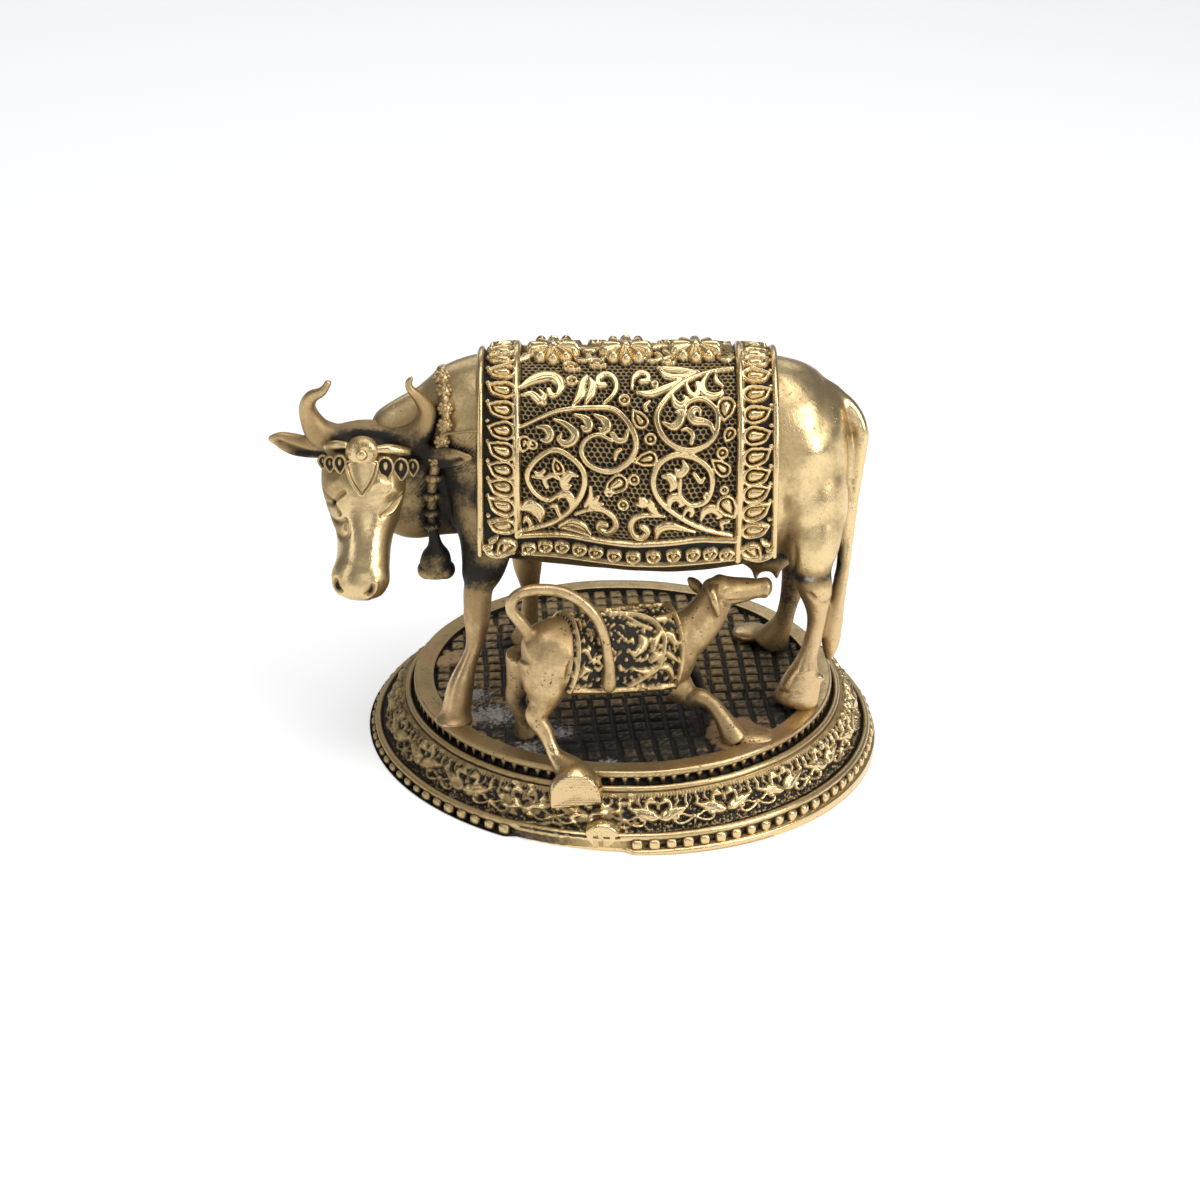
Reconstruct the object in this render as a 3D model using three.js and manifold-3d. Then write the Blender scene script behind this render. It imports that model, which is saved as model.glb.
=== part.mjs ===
// A cast brass cow with a suckling calf on a round carved plinth.
// Millimetres, +Z up. The cow walks towards -X, the calf stands on its -Y side.

import * as THREE from 'three';
import { mergeVertices } from 'three/addons/utils/BufferGeometryUtils.js';
import Module from 'manifold-3d';

const wasm = await Module();
wasm.setup();

// Plinth: turned about the middle of its platform, its underside filed at a slight slope
const PLINTH_DIAMETER = 100;
const PLINTH_HEIGHT = 11.5;
const PLATFORM_DIAMETER = 80.8;
const PLATFORM_BORDER = 3.4;
const BORDER_RISE = 0.35;
const GROOVE_DEPTH = 1.3;
const RIDGE_WIDTH = 1.6;
const FLANGE_HEIGHT = 1.5;
const UNDERSIDE_SLOPE = 0.039;
const UNDERSIDE_LEVEL = -0.24;
const FLANGE_STEP = 0.2;
const BEAD_DIAMETER = 2.1;
const BEAD_INSET = 0.4;
const BEAD_COUNT = 88;
const LOWER_RIDGE_INSET = 2.1;
const UPPER_RIDGE_OUT = 1.9;
const UPPER_RIDGE_DROP = 1.9;
const FRIEZE_MARGIN = 0.35;
const FRIEZE_UNITS = 22;
const FRIEZE_RELIEF = 0.9;
const RIM_WALL = 5;
const PLATE_THICKNESS = 4;
const HOOF_OVERHANG = 3.6;

// Figures
const COW_HEIGHT = 68;
const CALF_HEIGHT = 34;
const FIGURES_SHIFT = 1.5;
const CLOTH_THICKNESS = 0.7;
const HEM_RINGS = 13;
const GARLAND_BEADS = 13;
const CLEARANCE = 0.3;
const CLOTH_SUNK = 2.5;

// Proportions are drawn in parts: 68 parts to the cow's height, 34 to the calf's
const COW_PART = COW_HEIGHT / 68;
const CALF_PART = CALF_HEIGHT / 34;

// Carving of the cloth, drawn in the same parts and sunk a little into the body
const RAIL_WIDTH = 1.6 * COW_PART;
const RAIL_RELIEF = 0.8 * COW_PART;
const SCROLL_WIDTH = 1.7 * COW_PART;
const SCROLL_RELIEF = 0.8 * COW_PART;
const PETAL_LENGTH = 3.4 * COW_PART;
const PETAL_WIDTH = 2.4 * COW_PART;
const PETAL_RELIEF = 1.1 * COW_PART;
const HEM_RING_DIAMETER = 2.9 * COW_PART;
const SUNK = 0.4 * COW_PART;

const NEAR = -1;
const FAR = 1;

// Colours
const BRASS = { color: 0xb08d57, roughness: 0.38, metalness: 1 };
const COPPER_BRASS = { color: 0xa9825a, roughness: 0.42, metalness: 1 };
const DARK_BRASS = { color: 0x7d653c, roughness: 0.5, metalness: 1 };

// Solids

function toSolid(geometry) {
  geometry.deleteAttribute('normal');
  geometry.deleteAttribute('uv');
  const merged = mergeVertices(geometry, 1e-5);
  return new wasm.Manifold(new wasm.Mesh({
    numProp: 3,
    vertProperties: new Float32Array(merged.attributes.position.array),
    triVerts: new Uint32Array(merged.index.array),
  }));
}

function pointsToSolid(positions, index) {
  const geometry = new THREE.BufferGeometry();
  geometry.setAttribute('position', new THREE.Float32BufferAttribute(positions, 3));
  geometry.setIndex(index);
  return toSolid(geometry);
}

function toGeometry(solid) {
  const mesh = solid.getMesh();
  const geometry = new THREE.BufferGeometry();
  geometry.setAttribute('position', new THREE.BufferAttribute(mesh.vertProperties, 3));
  geometry.setIndex(new THREE.BufferAttribute(mesh.triVerts, 1));
  geometry.computeVertexNormals();
  return geometry;
}

function join(solids) {
  return solids.reduce((whole, piece) => whole.add(piece));
}

// Rows of numbers joined by a smooth curve: row k is reached at t = k / (rows - 1)
function smoothRow(rows, t) {
  const reach = t * (rows.length - 1);
  const k = Math.min(Math.floor(reach), rows.length - 2);
  const f = reach - k;
  const start = rows[k];
  const end = rows[k + 1];
  const before = rows[k - 1] ?? start.map((value, i) => 2 * value - end[i]);
  const after = rows[k + 2] ?? end.map((value, i) => 2 * value - start[i]);
  return start.map((value, i) => {
    const slopeIn = (end[i] - before[i]) / 2;
    const slopeOut = (after[i] - value) / 2;
    const rise = end[i] - value;
    const cubic = slopeIn + slopeOut - 2 * rise;
    const square = 3 * rise - 2 * slopeIn - slopeOut;
    return value + f * (slopeIn + f * (square + f * cubic));
  });
}

// An oval section carried along a curve. Each station is [x, y, z, across, deep], half sizes
// along `side` and square to it; a missing `deep` makes the section round.
function limb(stations, part, { sides = 8, rings = 8, side = [1, 0, 0] } = {}) {
  const rows = stations.map(([x, y, z, across, deep]) => [x, y, z, across, deep ?? across]);
  const geometry = new THREE.CylinderGeometry(1, 1, 1, sides, rings);
  const position = geometry.attributes.position;
  const sideways = new THREE.Vector3(...side);
  const step = 1e-3;
  for (let i = 0; i < position.count; i += 1) {
    const t = 0.5 - position.getY(i);
    const row = smoothRow(rows, t);
    const back = new THREE.Vector3(...smoothRow(rows, Math.max(t - step, 0)));
    const tangent = new THREE.Vector3(...smoothRow(rows, Math.min(t + step, 1))).sub(back).normalize();
    const across = sideways.clone().addScaledVector(tangent, -sideways.dot(tangent)).normalize();
    const deep = new THREE.Vector3().crossVectors(tangent, across);
    const point = new THREE.Vector3(...row)
      .addScaledVector(across, row[3] * position.getX(i))
      .addScaledVector(deep, row[4] * position.getZ(i))
      .multiplyScalar(part);
    position.setXYZ(i, point.x, point.y, point.z);
  }
  return toSolid(geometry);
}

function ball([x, y, z, rx, ry = rx, rz = rx], part, sides = 10, rows = 7) {
  const geometry = new THREE.SphereGeometry(1, sides, rows);
  geometry.rotateX(Math.PI / 2);
  geometry.scale(rx * part, ry * part, rz * part);
  geometry.translate(x * part, y * part, z * part);
  return toSolid(geometry);
}

// A closed strip of triangular section along places of a surface, sunk a little into it
function ridge(places, width, relief) {
  const positions = [];
  const index = [];
  places.forEach((place, i) => {
    const before = places[Math.max(i - 1, 0)].point;
    const after = places[Math.min(i + 1, places.length - 1)].point;
    const along = after.clone().sub(before).normalize();
    const across = new THREE.Vector3().crossVectors(place.normal, along).normalize();
    const foot = place.point.clone().addScaledVector(place.normal, -SUNK);
    const left = foot.clone().addScaledVector(across, width / 2);
    const right = foot.clone().addScaledVector(across, -width / 2);
    const crest = place.point.clone().addScaledVector(place.normal, relief);
    positions.push(...left.toArray(), ...crest.toArray(), ...right.toArray());
  });
  for (let i = 0; i < places.length - 1; i += 1) {
    for (let corner = 0; corner < 3; corner += 1) {
      const a = 3 * i + corner;
      const b = 3 * i + (corner + 1) % 3;
      index.push(a, b, a + 3, b, b + 3, a + 3);
    }
  }
  const last = positions.length / 3 - 3;
  index.push(0, 2, 1, last, last + 1, last + 2);
  return pointsToSolid(positions, index);
}

// A low pointed boss on a surface. `outline` lists the [along, across] points of its foot.
function stud(place, along, outline, relief) {
  const forward = along.clone().addScaledVector(place.normal, -along.dot(place.normal)).normalize();
  const across = new THREE.Vector3().crossVectors(place.normal, forward);
  const foot = place.point.clone().addScaledVector(place.normal, -SUNK);
  const peak = place.point.clone().addScaledVector(place.normal, relief);
  const positions = [...foot.toArray(), ...peak.toArray()];
  const index = [];
  outline.forEach(([a, b], i) => {
    const corner = foot.clone().addScaledVector(forward, a).addScaledVector(across, b);
    positions.push(...corner.toArray());
    const here = i + 2;
    const next = (i + 1) % outline.length + 2;
    index.push(here, next, 1, next, here, 0);
  });
  return pointsToSolid(positions, index);
}

function roundFoot(radius, sides) {
  return Array.from({ length: sides }, (_, i) => {
    const angle = 2 * Math.PI * i / sides;
    return [radius * Math.cos(angle), radius * Math.sin(angle)];
  });
}

// Plinth

const PLINTH_RADIUS = PLINTH_DIAMETER / 2;
const PLATFORM_RADIUS = PLATFORM_DIAMETER / 2;
const HALF_RIDGE = RIDGE_WIDTH / 2;
const SEGMENTS = BEAD_COUNT / 2;
const BEAD_RING = {
  radius: PLINTH_RADIUS - BEAD_INSET,
  height: FLANGE_HEIGHT + BEAD_DIAMETER / 2,
};
const LOWER_RIDGE = {
  radius: PLINTH_RADIUS - LOWER_RIDGE_INSET,
  height: FLANGE_HEIGHT + BEAD_DIAMETER,
};
const UPPER_RIDGE = {
  radius: PLATFORM_RADIUS + UPPER_RIDGE_OUT,
  height: PLINTH_HEIGHT - UPPER_RIDGE_DROP,
};
const FRIEZE_FOOT = {
  radius: LOWER_RIDGE.radius - HALF_RIDGE,
  height: LOWER_RIDGE.height + FRIEZE_MARGIN,
};
const FRIEZE_TOP = {
  radius: UPPER_RIDGE.radius + HALF_RIDGE,
  height: UPPER_RIDGE.height - FRIEZE_MARGIN,
};
const PLINTH_DEPTH = PLINTH_RADIUS * UNDERSIDE_SLOPE - UNDERSIDE_LEVEL + CLEARANCE;

// The outside of the plinth from the middle of its platform to its lower ridge, as
// [radius, height]
const SLOPE_OUTLINE = [
  [0, PLINTH_HEIGHT],
  [PLATFORM_RADIUS - PLATFORM_BORDER, PLINTH_HEIGHT],
  [PLATFORM_RADIUS - PLATFORM_BORDER + BORDER_RISE, PLINTH_HEIGHT + BORDER_RISE],
  [PLATFORM_RADIUS - BORDER_RISE, PLINTH_HEIGHT + BORDER_RISE],
  [PLATFORM_RADIUS, PLINTH_HEIGHT - GROOVE_DEPTH],
  [UPPER_RIDGE.radius - HALF_RIDGE, PLINTH_HEIGHT - GROOVE_DEPTH],
  [UPPER_RIDGE.radius, UPPER_RIDGE.height + HALF_RIDGE],
  [FRIEZE_TOP.radius, FRIEZE_TOP.height],
  [FRIEZE_FOOT.radius, FRIEZE_FOOT.height],
  [LOWER_RIDGE.radius, LOWER_RIDGE.height + HALF_RIDGE],
];

// A ring of points round the plinth's axis, or the one point on it
function ring([radius, height], count = SEGMENTS) {
  return Array.from({ length: radius ? count : 1 }, (_, i) => {
    const angle = 2 * Math.PI * i / count;
    return [radius * Math.cos(angle), radius * Math.sin(angle), height];
  });
}

// Beads stand out between valleys, two points to each
function beadRing() {
  const valley = ring([BEAD_RING.radius - BEAD_DIAMETER / 2, BEAD_RING.height], 2 * BEAD_COUNT);
  const peak = ring([BEAD_RING.radius, BEAD_RING.height], 2 * BEAD_COUNT);
  return valley.map((point, i) => (i % 2 ? peak[i] : point));
}

// A closed surface over rings of points. Where one ring has more points than the next, its
// points share theirs.
function overRings(rings) {
  const index = [];
  let start = 0;
  for (let r = 0; r < rings.length - 1; r += 1) {
    const upper = rings[r].length;
    const lower = rings[r + 1].length;
    const below = start + upper;
    const count = Math.max(upper, lower);
    for (let i = 0; i < count; i += 1) {
      const [a, b] = [i, i + 1].map((k) => start + Math.floor(k * upper / count) % upper);
      const [c, d] = [i, i + 1].map((k) => below + Math.floor(k * lower / count) % lower);
      if (a !== b && c !== d && upper > lower) index.push(a, c, d, a, d, b);
      else {
        if (a !== b) index.push(a, c, b);
        if (c !== d) index.push(b, c, d);
      }
    }
    start = below;
  }
  return pointsToSolid(rings.flat(2), index);
}

function plinthBody() {
  const ceiling = PLINTH_HEIGHT - PLATE_THICKNESS;
  const seat = BEAD_RING.radius - BEAD_DIAMETER / 2;
  return overRings([
    ...SLOPE_OUTLINE.map((point) => ring(point)),
    ring([seat, BEAD_RING.height + BEAD_DIAMETER / 2], BEAD_COUNT),
    beadRing(),
    ring([seat, FLANGE_HEIGHT], BEAD_COUNT),
    ring([PLINTH_RADIUS, FLANGE_HEIGHT - FLANGE_STEP]),
    ring([PLINTH_RADIUS, -PLINTH_DEPTH]),
    ring([PLINTH_RADIUS - RIM_WALL, -PLINTH_DEPTH]),
    ring([PLATFORM_RADIUS - RIM_WALL / 2, ceiling]),
    ring([0, ceiling]),
  ]);
}

// A place on the frieze slope, `along` in turns round the plinth and `up` from foot to top
function friezePlace(along, up) {
  const angle = 2 * Math.PI * along;
  const rise = FRIEZE_TOP.height - FRIEZE_FOOT.height;
  const run = FRIEZE_FOOT.radius - FRIEZE_TOP.radius;
  const radius = FRIEZE_FOOT.radius - run * up;
  const out = new THREE.Vector3(Math.cos(angle), Math.sin(angle), 0);
  return {
    point: out.clone().multiplyScalar(radius).setZ(FRIEZE_FOOT.height + rise * up),
    normal: out.clone().multiplyScalar(rise).setZ(run).normalize(),
  };
}

// Two birds breast to breast with raised heads and tails, and a ribbon knot between each
// pair. Outlines are shares of one unit's width and of the slope's height.
const BIRD_MIDDLE = [0.19, 0.42];
const BIRD = [
  [0.44, 0.92],
  [0.26, 0.56],
  [0.14, 0.66],
  [0.03, 0.96],
  [0.05, 0.32],
  [0.2, 0.12],
  [0.36, 0.38],
];
const KNOT_MIDDLE = [0.5, 0.2];
const KNOT = [[0.66, 0.2], [0.5, 0.32], [0.34, 0.2], [0.5, 0.08]];

// The stretch under the calf's hoof is worn smooth
const WORN_STRETCH = [0.69, 0.755];

function friezeStud(unit, [middleAside, middleUp], outline, hand) {
  const turn = (unit + hand * middleAside) / FRIEZE_UNITS;
  if (turn > WORN_STRETCH[0] && turn < WORN_STRETCH[1]) return [];
  const place = friezePlace(turn, middleUp);
  const round = new THREE.Vector3(-place.point.y, place.point.x, 0).normalize();
  const width = 2 * Math.PI * Math.hypot(place.point.x, place.point.y) / FRIEZE_UNITS;
  const height = Math.hypot(FRIEZE_TOP.height - FRIEZE_FOOT.height, FRIEZE_FOOT.radius - FRIEZE_TOP.radius);
  const foot = outline.map(([aside, up]) => [
    hand * (aside - middleAside) * width,
    (up - middleUp) * height,
  ]);
  return [stud(place, round, hand === NEAR ? foot.reverse() : foot, FRIEZE_RELIEF)];
}

function friezeFigures() {
  const figures = [];
  for (let unit = 0; unit < FRIEZE_UNITS; unit += 1) {
    figures.push(...friezeStud(unit, BIRD_MIDDLE, BIRD, NEAR));
    figures.push(...friezeStud(unit, BIRD_MIDDLE, BIRD, FAR));
    figures.push(...friezeStud(unit, KNOT_MIDDLE, KNOT, FAR));
  }
  return figures;
}

// Everything below the filed underside
function belowUnderside() {
  const geometry = new THREE.BoxGeometry(2 * PLINTH_DIAMETER, 2 * PLINTH_DIAMETER, PLINTH_DIAMETER);
  geometry.translate(0, 0, -PLINTH_RADIUS);
  geometry.rotateY(Math.atan(UNDERSIDE_SLOPE));
  geometry.translate(0, 0, UNDERSIDE_LEVEL);
  return toSolid(geometry);
}

function plinth() {
  return join([plinthBody(), ...friezeFigures()]).subtract(belowUnderside());
}

// Everything that stands on the plinth keeps clear of this shape, which is given in the
// figures' own frame
function plinthRoom() {
  const clear = ([radius, height]) => [radius ? radius + CLEARANCE : 0, height + CLEARANCE];
  return overRings([
    ...SLOPE_OUTLINE.map((point) => ring(clear(point))),
    ring(clear([PLINTH_RADIUS, FLANGE_HEIGHT])),
    ring(clear([PLINTH_RADIUS, -PLINTH_DEPTH])),
    ring([0, -PLINTH_DEPTH]),
  ]).translate([-FIGURES_SHIFT, 0, -PLINTH_HEIGHT]);
}

// Cow: z is counted from the platform

const TRUNK = [
  [-37.2, -3.0, 42.5, 2.5, 7.0],
  [-35.8, -2.7, 44.0, 6.6, 12.8],
  [-32.0, -2.1, 46.0, 10.6, 17.6],
  [-27.0, -1.5, 47.0, 13.2, 20.0],
  [-18.0, -1.0, 46.5, 15.4, 20.8],
  [-5.0, -1.0, 45.9, 17.0, 21.4],
  [8.0, -1.0, 45.5, 17.3, 21.8],
  [20.0, -1.0, 46.1, 16.3, 20.9],
  [28.0, -1.1, 46.8, 14.8, 19.2],
  [34.0, -1.3, 46.2, 12.8, 16.0],
  [38.4, -1.5, 45.6, 9.4, 11.8],
  [40.9, -1.6, 45.4, 4.8, 6.4],
  [41.5, -1.6, 45.4, 1.0, 1.5],
];

const NECK = [
  [-29.0, -1.6, 47.5, 8.5, 17.0],
  [-35.0, -2.6, 46.6, 7.4, 15.6],
  [-40.0, -4.0, 45.4, 6.5, 14.4],
  [-44.5, -5.8, 43.9, 5.8, 12.8],
  [-48.5, -7.6, 43.0, 5.2, 9.0],
];

const HEAD = [
  [-49.9, -5.4, 56.0, 3.2, 2.6],
  [-49.9, -6.2, 54.2, 6.2, 5.0],
  [-50.0, -7.6, 50.6, 7.5, 6.6],
  [-50.0, -9.6, 45.0, 8.0, 7.2],
  [-49.9, -11.8, 40.0, 6.8, 6.3],
  [-49.9, -14.6, 35.8, 5.2, 5.2],
  [-50.1, -17.4, 32.2, 5.0, 4.6],
  [-50.5, -19.4, 29.8, 5.5, 4.3],
  [-50.8, -21.0, 27.4, 4.3, 3.2],
  [-50.9, -21.7, 26.2, 1.8, 1.4],
];

// The horns stand on the -X and +X sides of the turned head
const OUTER_HORN = [
  [-53.0, -8.2, 51.6, 2.6],
  [-57.6, -8.8, 52.4, 2.3],
  [-59.5, -9.2, 56.2, 1.9],
  [-59.9, -10.0, 60.0, 1.6],
  [-58.9, -11.0, 62.6, 1.4],
  [-56.9, -12.0, 64.0, 1.1],
  [-55.7, -12.0, 65.5, 0.75],
];

const INNER_HORN = [
  [-46.6, -8.2, 51.6, 2.6],
  [-41.0, -8.8, 51.9, 2.3],
  [-37.6, -9.2, 55.4, 1.9],
  [-36.9, -10.0, 59.0, 1.6],
  [-38.3, -11.0, 62.0, 1.2],
  [-40.4, -12.0, 64.2, 0.9],
  [-41.1, -12.0, 65.5, 0.7],
  [-40.4, -12.0, 66.6, 0.6],
];

const OUTER_EAR = [
  [-55.0, -8.6, 50.6, 1.3, 1.0],
  [-59.0, -8.4, 51.2, 2.0, 1.2],
  [-62.6, -8.0, 51.8, 2.3, 1.2],
  [-65.6, -8.0, 52.8, 1.7, 1.0],
  [-67.8, -8.0, 53.1, 0.5, 0.4],
];

const INNER_EAR = [
  [-44.0, -8.8, 50.4, 1.3, 1.0],
  [-39.6, -10.0, 50.6, 1.8, 1.2],
  [-35.6, -12.0, 51.0, 2.3, 1.2],
  [-32.1, -14.0, 51.7, 1.7, 1.0],
  [-29.4, -15.0, 52.2, 0.5, 0.4],
];

const LEGS = {
  nearFront: [
    [-27.5, -7.5, 40.0, 6.0, 5.4],
    [-27.4, -10.0, 33.1, 3.8, 3.6],
    [-27.9, -12.0, 29.0, 3.1, 3.1],
    [-28.9, -13.2, 25.6, 2.8, 2.9],
    [-29.2, -15.0, 19.4, 2.6, 2.6],
    [-29.6, -16.5, 14.9, 1.8, 1.9],
    [-30.8, -17.5, 11.3, 1.75, 1.8],
    [-32.4, -18.6, 6.5, 2.6, 2.6],
    [-33.6, -19.6, 0.0, 3.0, 3.2],
  ],
  farFront: [
    [-21.5, 6.5, 34.0, 5.5, 5.5],
    [-20.5, 9.0, 25.0, 3.6, 3.6],
    [-20.2, 10.0, 18.2, 2.9, 3.0],
    [-19.8, 10.5, 13.0, 1.9, 1.9],
    [-19.9, 11.0, 8.0, 1.8, 1.8],
    [-20.4, 11.6, 4.0, 2.3, 2.5],
    [-21.4, 12.0, 0.0, 3.0, 3.4],
  ],
  nearHind: [
    [33.5, -6.5, 43.0, 7.0, 5.0],
    [34.0, -10.4, 34.0, 5.6, 5.2],
    [33.9, -12.0, 28.0, 3.9, 4.2],
    [34.9, -12.4, 23.4, 3.1, 3.2],
    [35.7, -12.5, 18.6, 1.8, 2.2],
    [35.2, -12.8, 13.6, 1.6, 1.8],
    [33.5, -13.4, 7.7, 2.3, 2.3],
    [31.6, -13.8, 3.2, 3.0, 2.8],
    [30.4, -14.0, 0.0, 3.6, 3.0],
  ],
  farHind: [
    [32.5, 7.0, 40.0, 7.0, 7.0],
    [33.5, 9.0, 26.0, 4.2, 4.6],
    [33.0, 9.8, 18.0, 3.2, 3.4],
    [31.6, 10.2, 10.5, 2.0, 2.2],
    [30.6, 10.8, 5.7, 2.1, 2.3],
    [29.0, 11.6, 2.0, 3.2, 3.0],
    [28.0, 12.2, 0.0, 3.8, 3.2],
  ],
};

// The upper arm ends in a step, like a sleeve, over the near front leg
const SLEEVE = [
  [-27.4, -8.0, 39.0, 6.8, 6.0],
  [-27.3, -10.2, 33.1, 5.2, 4.6],
  [-27.8, -12.0, 29.3, 4.4, 4.1],
  [-28.8, -13.0, 25.8, 3.9, 3.8],
];

const TAIL = [
  [33.0, 0.0, 59.0, 2.2],
  [36.0, -0.3, 60.0, 1.9],
  [39.0, -1.0, 58.4, 1.6],
  [41.7, -2.0, 55.8, 1.6],
  [43.2, -3.0, 52.0, 1.5],
  [42.7, -3.6, 46.6, 1.5],
  [41.8, -4.8, 40.4, 1.5],
  [41.0, -6.6, 33.6, 1.5],
  [40.3, -8.2, 27.2, 1.5],
  [39.4, -9.6, 21.4, 1.6],
  [38.5, -10.0, 15.6, 2.0],
  [38.3, -10.0, 11.4, 1.9],
  [38.0, -10.0, 7.4, 0.7],
];

const SHOULDERS_AND_HIPS = [
  [-27.5, -8, 42, 7.5, 6, 10],
  [-24, 6, 40, 7.5, 6, 10],
  [33.0, -7.5, 40, 8, 7, 12.5],
  [32.5, 5.5, 39, 8, 7, 12.5],
];

const UDDER = [26, -1, 27.1, 6, 6, 4];
const TEATS = [[24, -3.5], [24, 1.5], [28, -3.5], [28, 1.5]];
const TEAT = { top: 25.5, tip: 21.6, width: 2.2, tipWidth: 1.2 };

// A chain of beads from the crest of the neck down to the bell at the throat
const GARLAND = [
  [-35.5, -2.8, 64.1, 1.9],
  [-34.8, -7.2, 62.2, 1.7],
  [-34.4, -10.2, 58.9, 1.6],
  [-34.9, -11.3, 54.6, 1.6],
  [-36.4, -11.1, 49.5, 1.7],
  [-37.3, -10.7, 44.0, 1.8],
  [-37.5, -10.5, 39.0, 1.7],
  [-37.5, -10.6, 35.2, 1.5],
];
const GARLAND_MIDDLE = -2.8;
const BEAD_WAIST = 0.55;

const BELL = [
  [-37.4, -10.7, 36.6, 0.8],
  [-37.0, -11.0, 33.0, 1.3],
  [-36.9, -11.0, 30.8, 2.6],
  [-37.0, -11.0, 28.4, 3.1],
  [-37.1, -11.0, 26.6, 3.3],
];

// Ornaments of the forehead, on the face that looks towards -Y: [x, y, z, rx, ry, rz]
const FOREHEAD = {
  boss: [-49.9, -13.4, 51.2, 3.3, 1.8, 3.3],
  pendant: [-50.2, -16.3, 45.6, 2.6, 1.5, 3.4],
  eyes: [[-55.0, -14.6, 43.0, 2.0, 1.4, 1.2], [-44.6, -14.6, 43.9, 2.0, 1.4, 1.2]],
  nostrils: [[-53.4, -23.2, 30.2, 1.5, 1.2, 1.2], [-47.8, -23.2, 30.0, 1.5, 1.2, 1.2]],
};

const HEADBAND = [
  [-57.0, -8.6, 53.2, 0.9],
  [-54.6, -12.2, 53.4, 1.2],
  [-50.0, -13.6, 54.2, 1.3],
  [-45.4, -12.4, 53.2, 1.2],
  [-42.8, -9.0, 52.6, 0.9],
];

// The trunk's section at a length x, found by halving
function trunkAt(x) {
  let low = 0;
  let high = 1;
  for (let i = 0; i < 24; i += 1) {
    const middle = (low + high) / 2;
    if (smoothRow(TRUNK, middle)[0] < x) low = middle;
    else high = middle;
  }
  const [, y, z, across, deep] = smoothRow(TRUNK, low);
  return { y, z, across, deep };
}

// Cloth: `along` from its front edge to its rear edge, `down` from the spine to the hem
const CLOTH_FRONT = -29.0;
const CLOTH_REAR = 27.1;
const CLOTH_LENGTH = (CLOTH_REAR - CLOTH_FRONT) * COW_PART;
const HEM_ANGLE = 2.38;
const FRONT_RAIL = 0.136;
const REAR_RAIL = 0.872;
const HEM_RAIL = 0.85;
const RING_LINE = 0.93;
const DROP_PER_LENGTH = 1.081;

function clothPlace(along, down, hand, lift = CLOTH_THICKNESS) {
  const x = CLOTH_FRONT + (CLOTH_REAR - CLOTH_FRONT) * along;
  const trunk = trunkAt(x);
  const angle = HEM_ANGLE * down;
  const across = trunk.across * COW_PART + lift;
  const deep = trunk.deep * COW_PART + lift;
  const side = Math.sin(angle);
  const up = Math.cos(angle);
  return {
    point: new THREE.Vector3(
      x * COW_PART, trunk.y * COW_PART + hand * across * side, trunk.z * COW_PART + deep * up,
    ),
    normal: new THREE.Vector3(0, hand * side / across, up / deep).normalize(),
  };
}

// Lines of the cloth's grid. A rail is a raised line between two low ones.
const HALF_RAIL = RAIL_WIDTH / 2 / CLOTH_LENGTH;
const HALF_HEM_RAIL = HALF_RAIL * DROP_PER_LENGTH;
const RAILS = [0, FRONT_RAIL, REAR_RAIL, 1];
const FIELD_LINES = [4, 9].map((k) => FRONT_RAIL + (REAR_RAIL - FRONT_RAIL) * k / HEM_RINGS);
const PETALS_PER_BORDER = 9;
const PETAL_PITCH = (HEM_RAIL - HALF_HEM_RAIL) / PETALS_PER_BORDER;
const DROP_LINES = [
  ...Array.from({ length: PETALS_PER_BORDER + 1 }, (_, k) => PETAL_PITCH * k),
  HEM_RAIL,
  HEM_RAIL + HALF_HEM_RAIL,
  1,
];

function lengthLines() {
  const lines = [...FIELD_LINES, ...RAILS, 2 * HALF_RAIL, 1 - 2 * HALF_RAIL];
  for (const rail of [FRONT_RAIL, REAR_RAIL]) lines.push(rail - HALF_RAIL, rail + HALF_RAIL);
  return lines.sort((a, b) => a - b);
}

function clothLift(along, down) {
  const onRail = RAILS.includes(along);
  const onHemRail = down === HEM_RAIL && along > FRONT_RAIL && along < REAR_RAIL;
  return CLOTH_THICKNESS + (onRail || onHemRail ? RAIL_RELIEF : 0);
}

// The end borders lie between two rails, and each of their cells rises to a petal's peak
function isPetal(along, down) {
  const inBorder = along === 2 * HALF_RAIL || along === REAR_RAIL + HALF_RAIL;
  return inBorder && (down < HEM_RAIL - PETAL_PITCH / 2 || down > HEM_RAIL);
}

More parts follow.
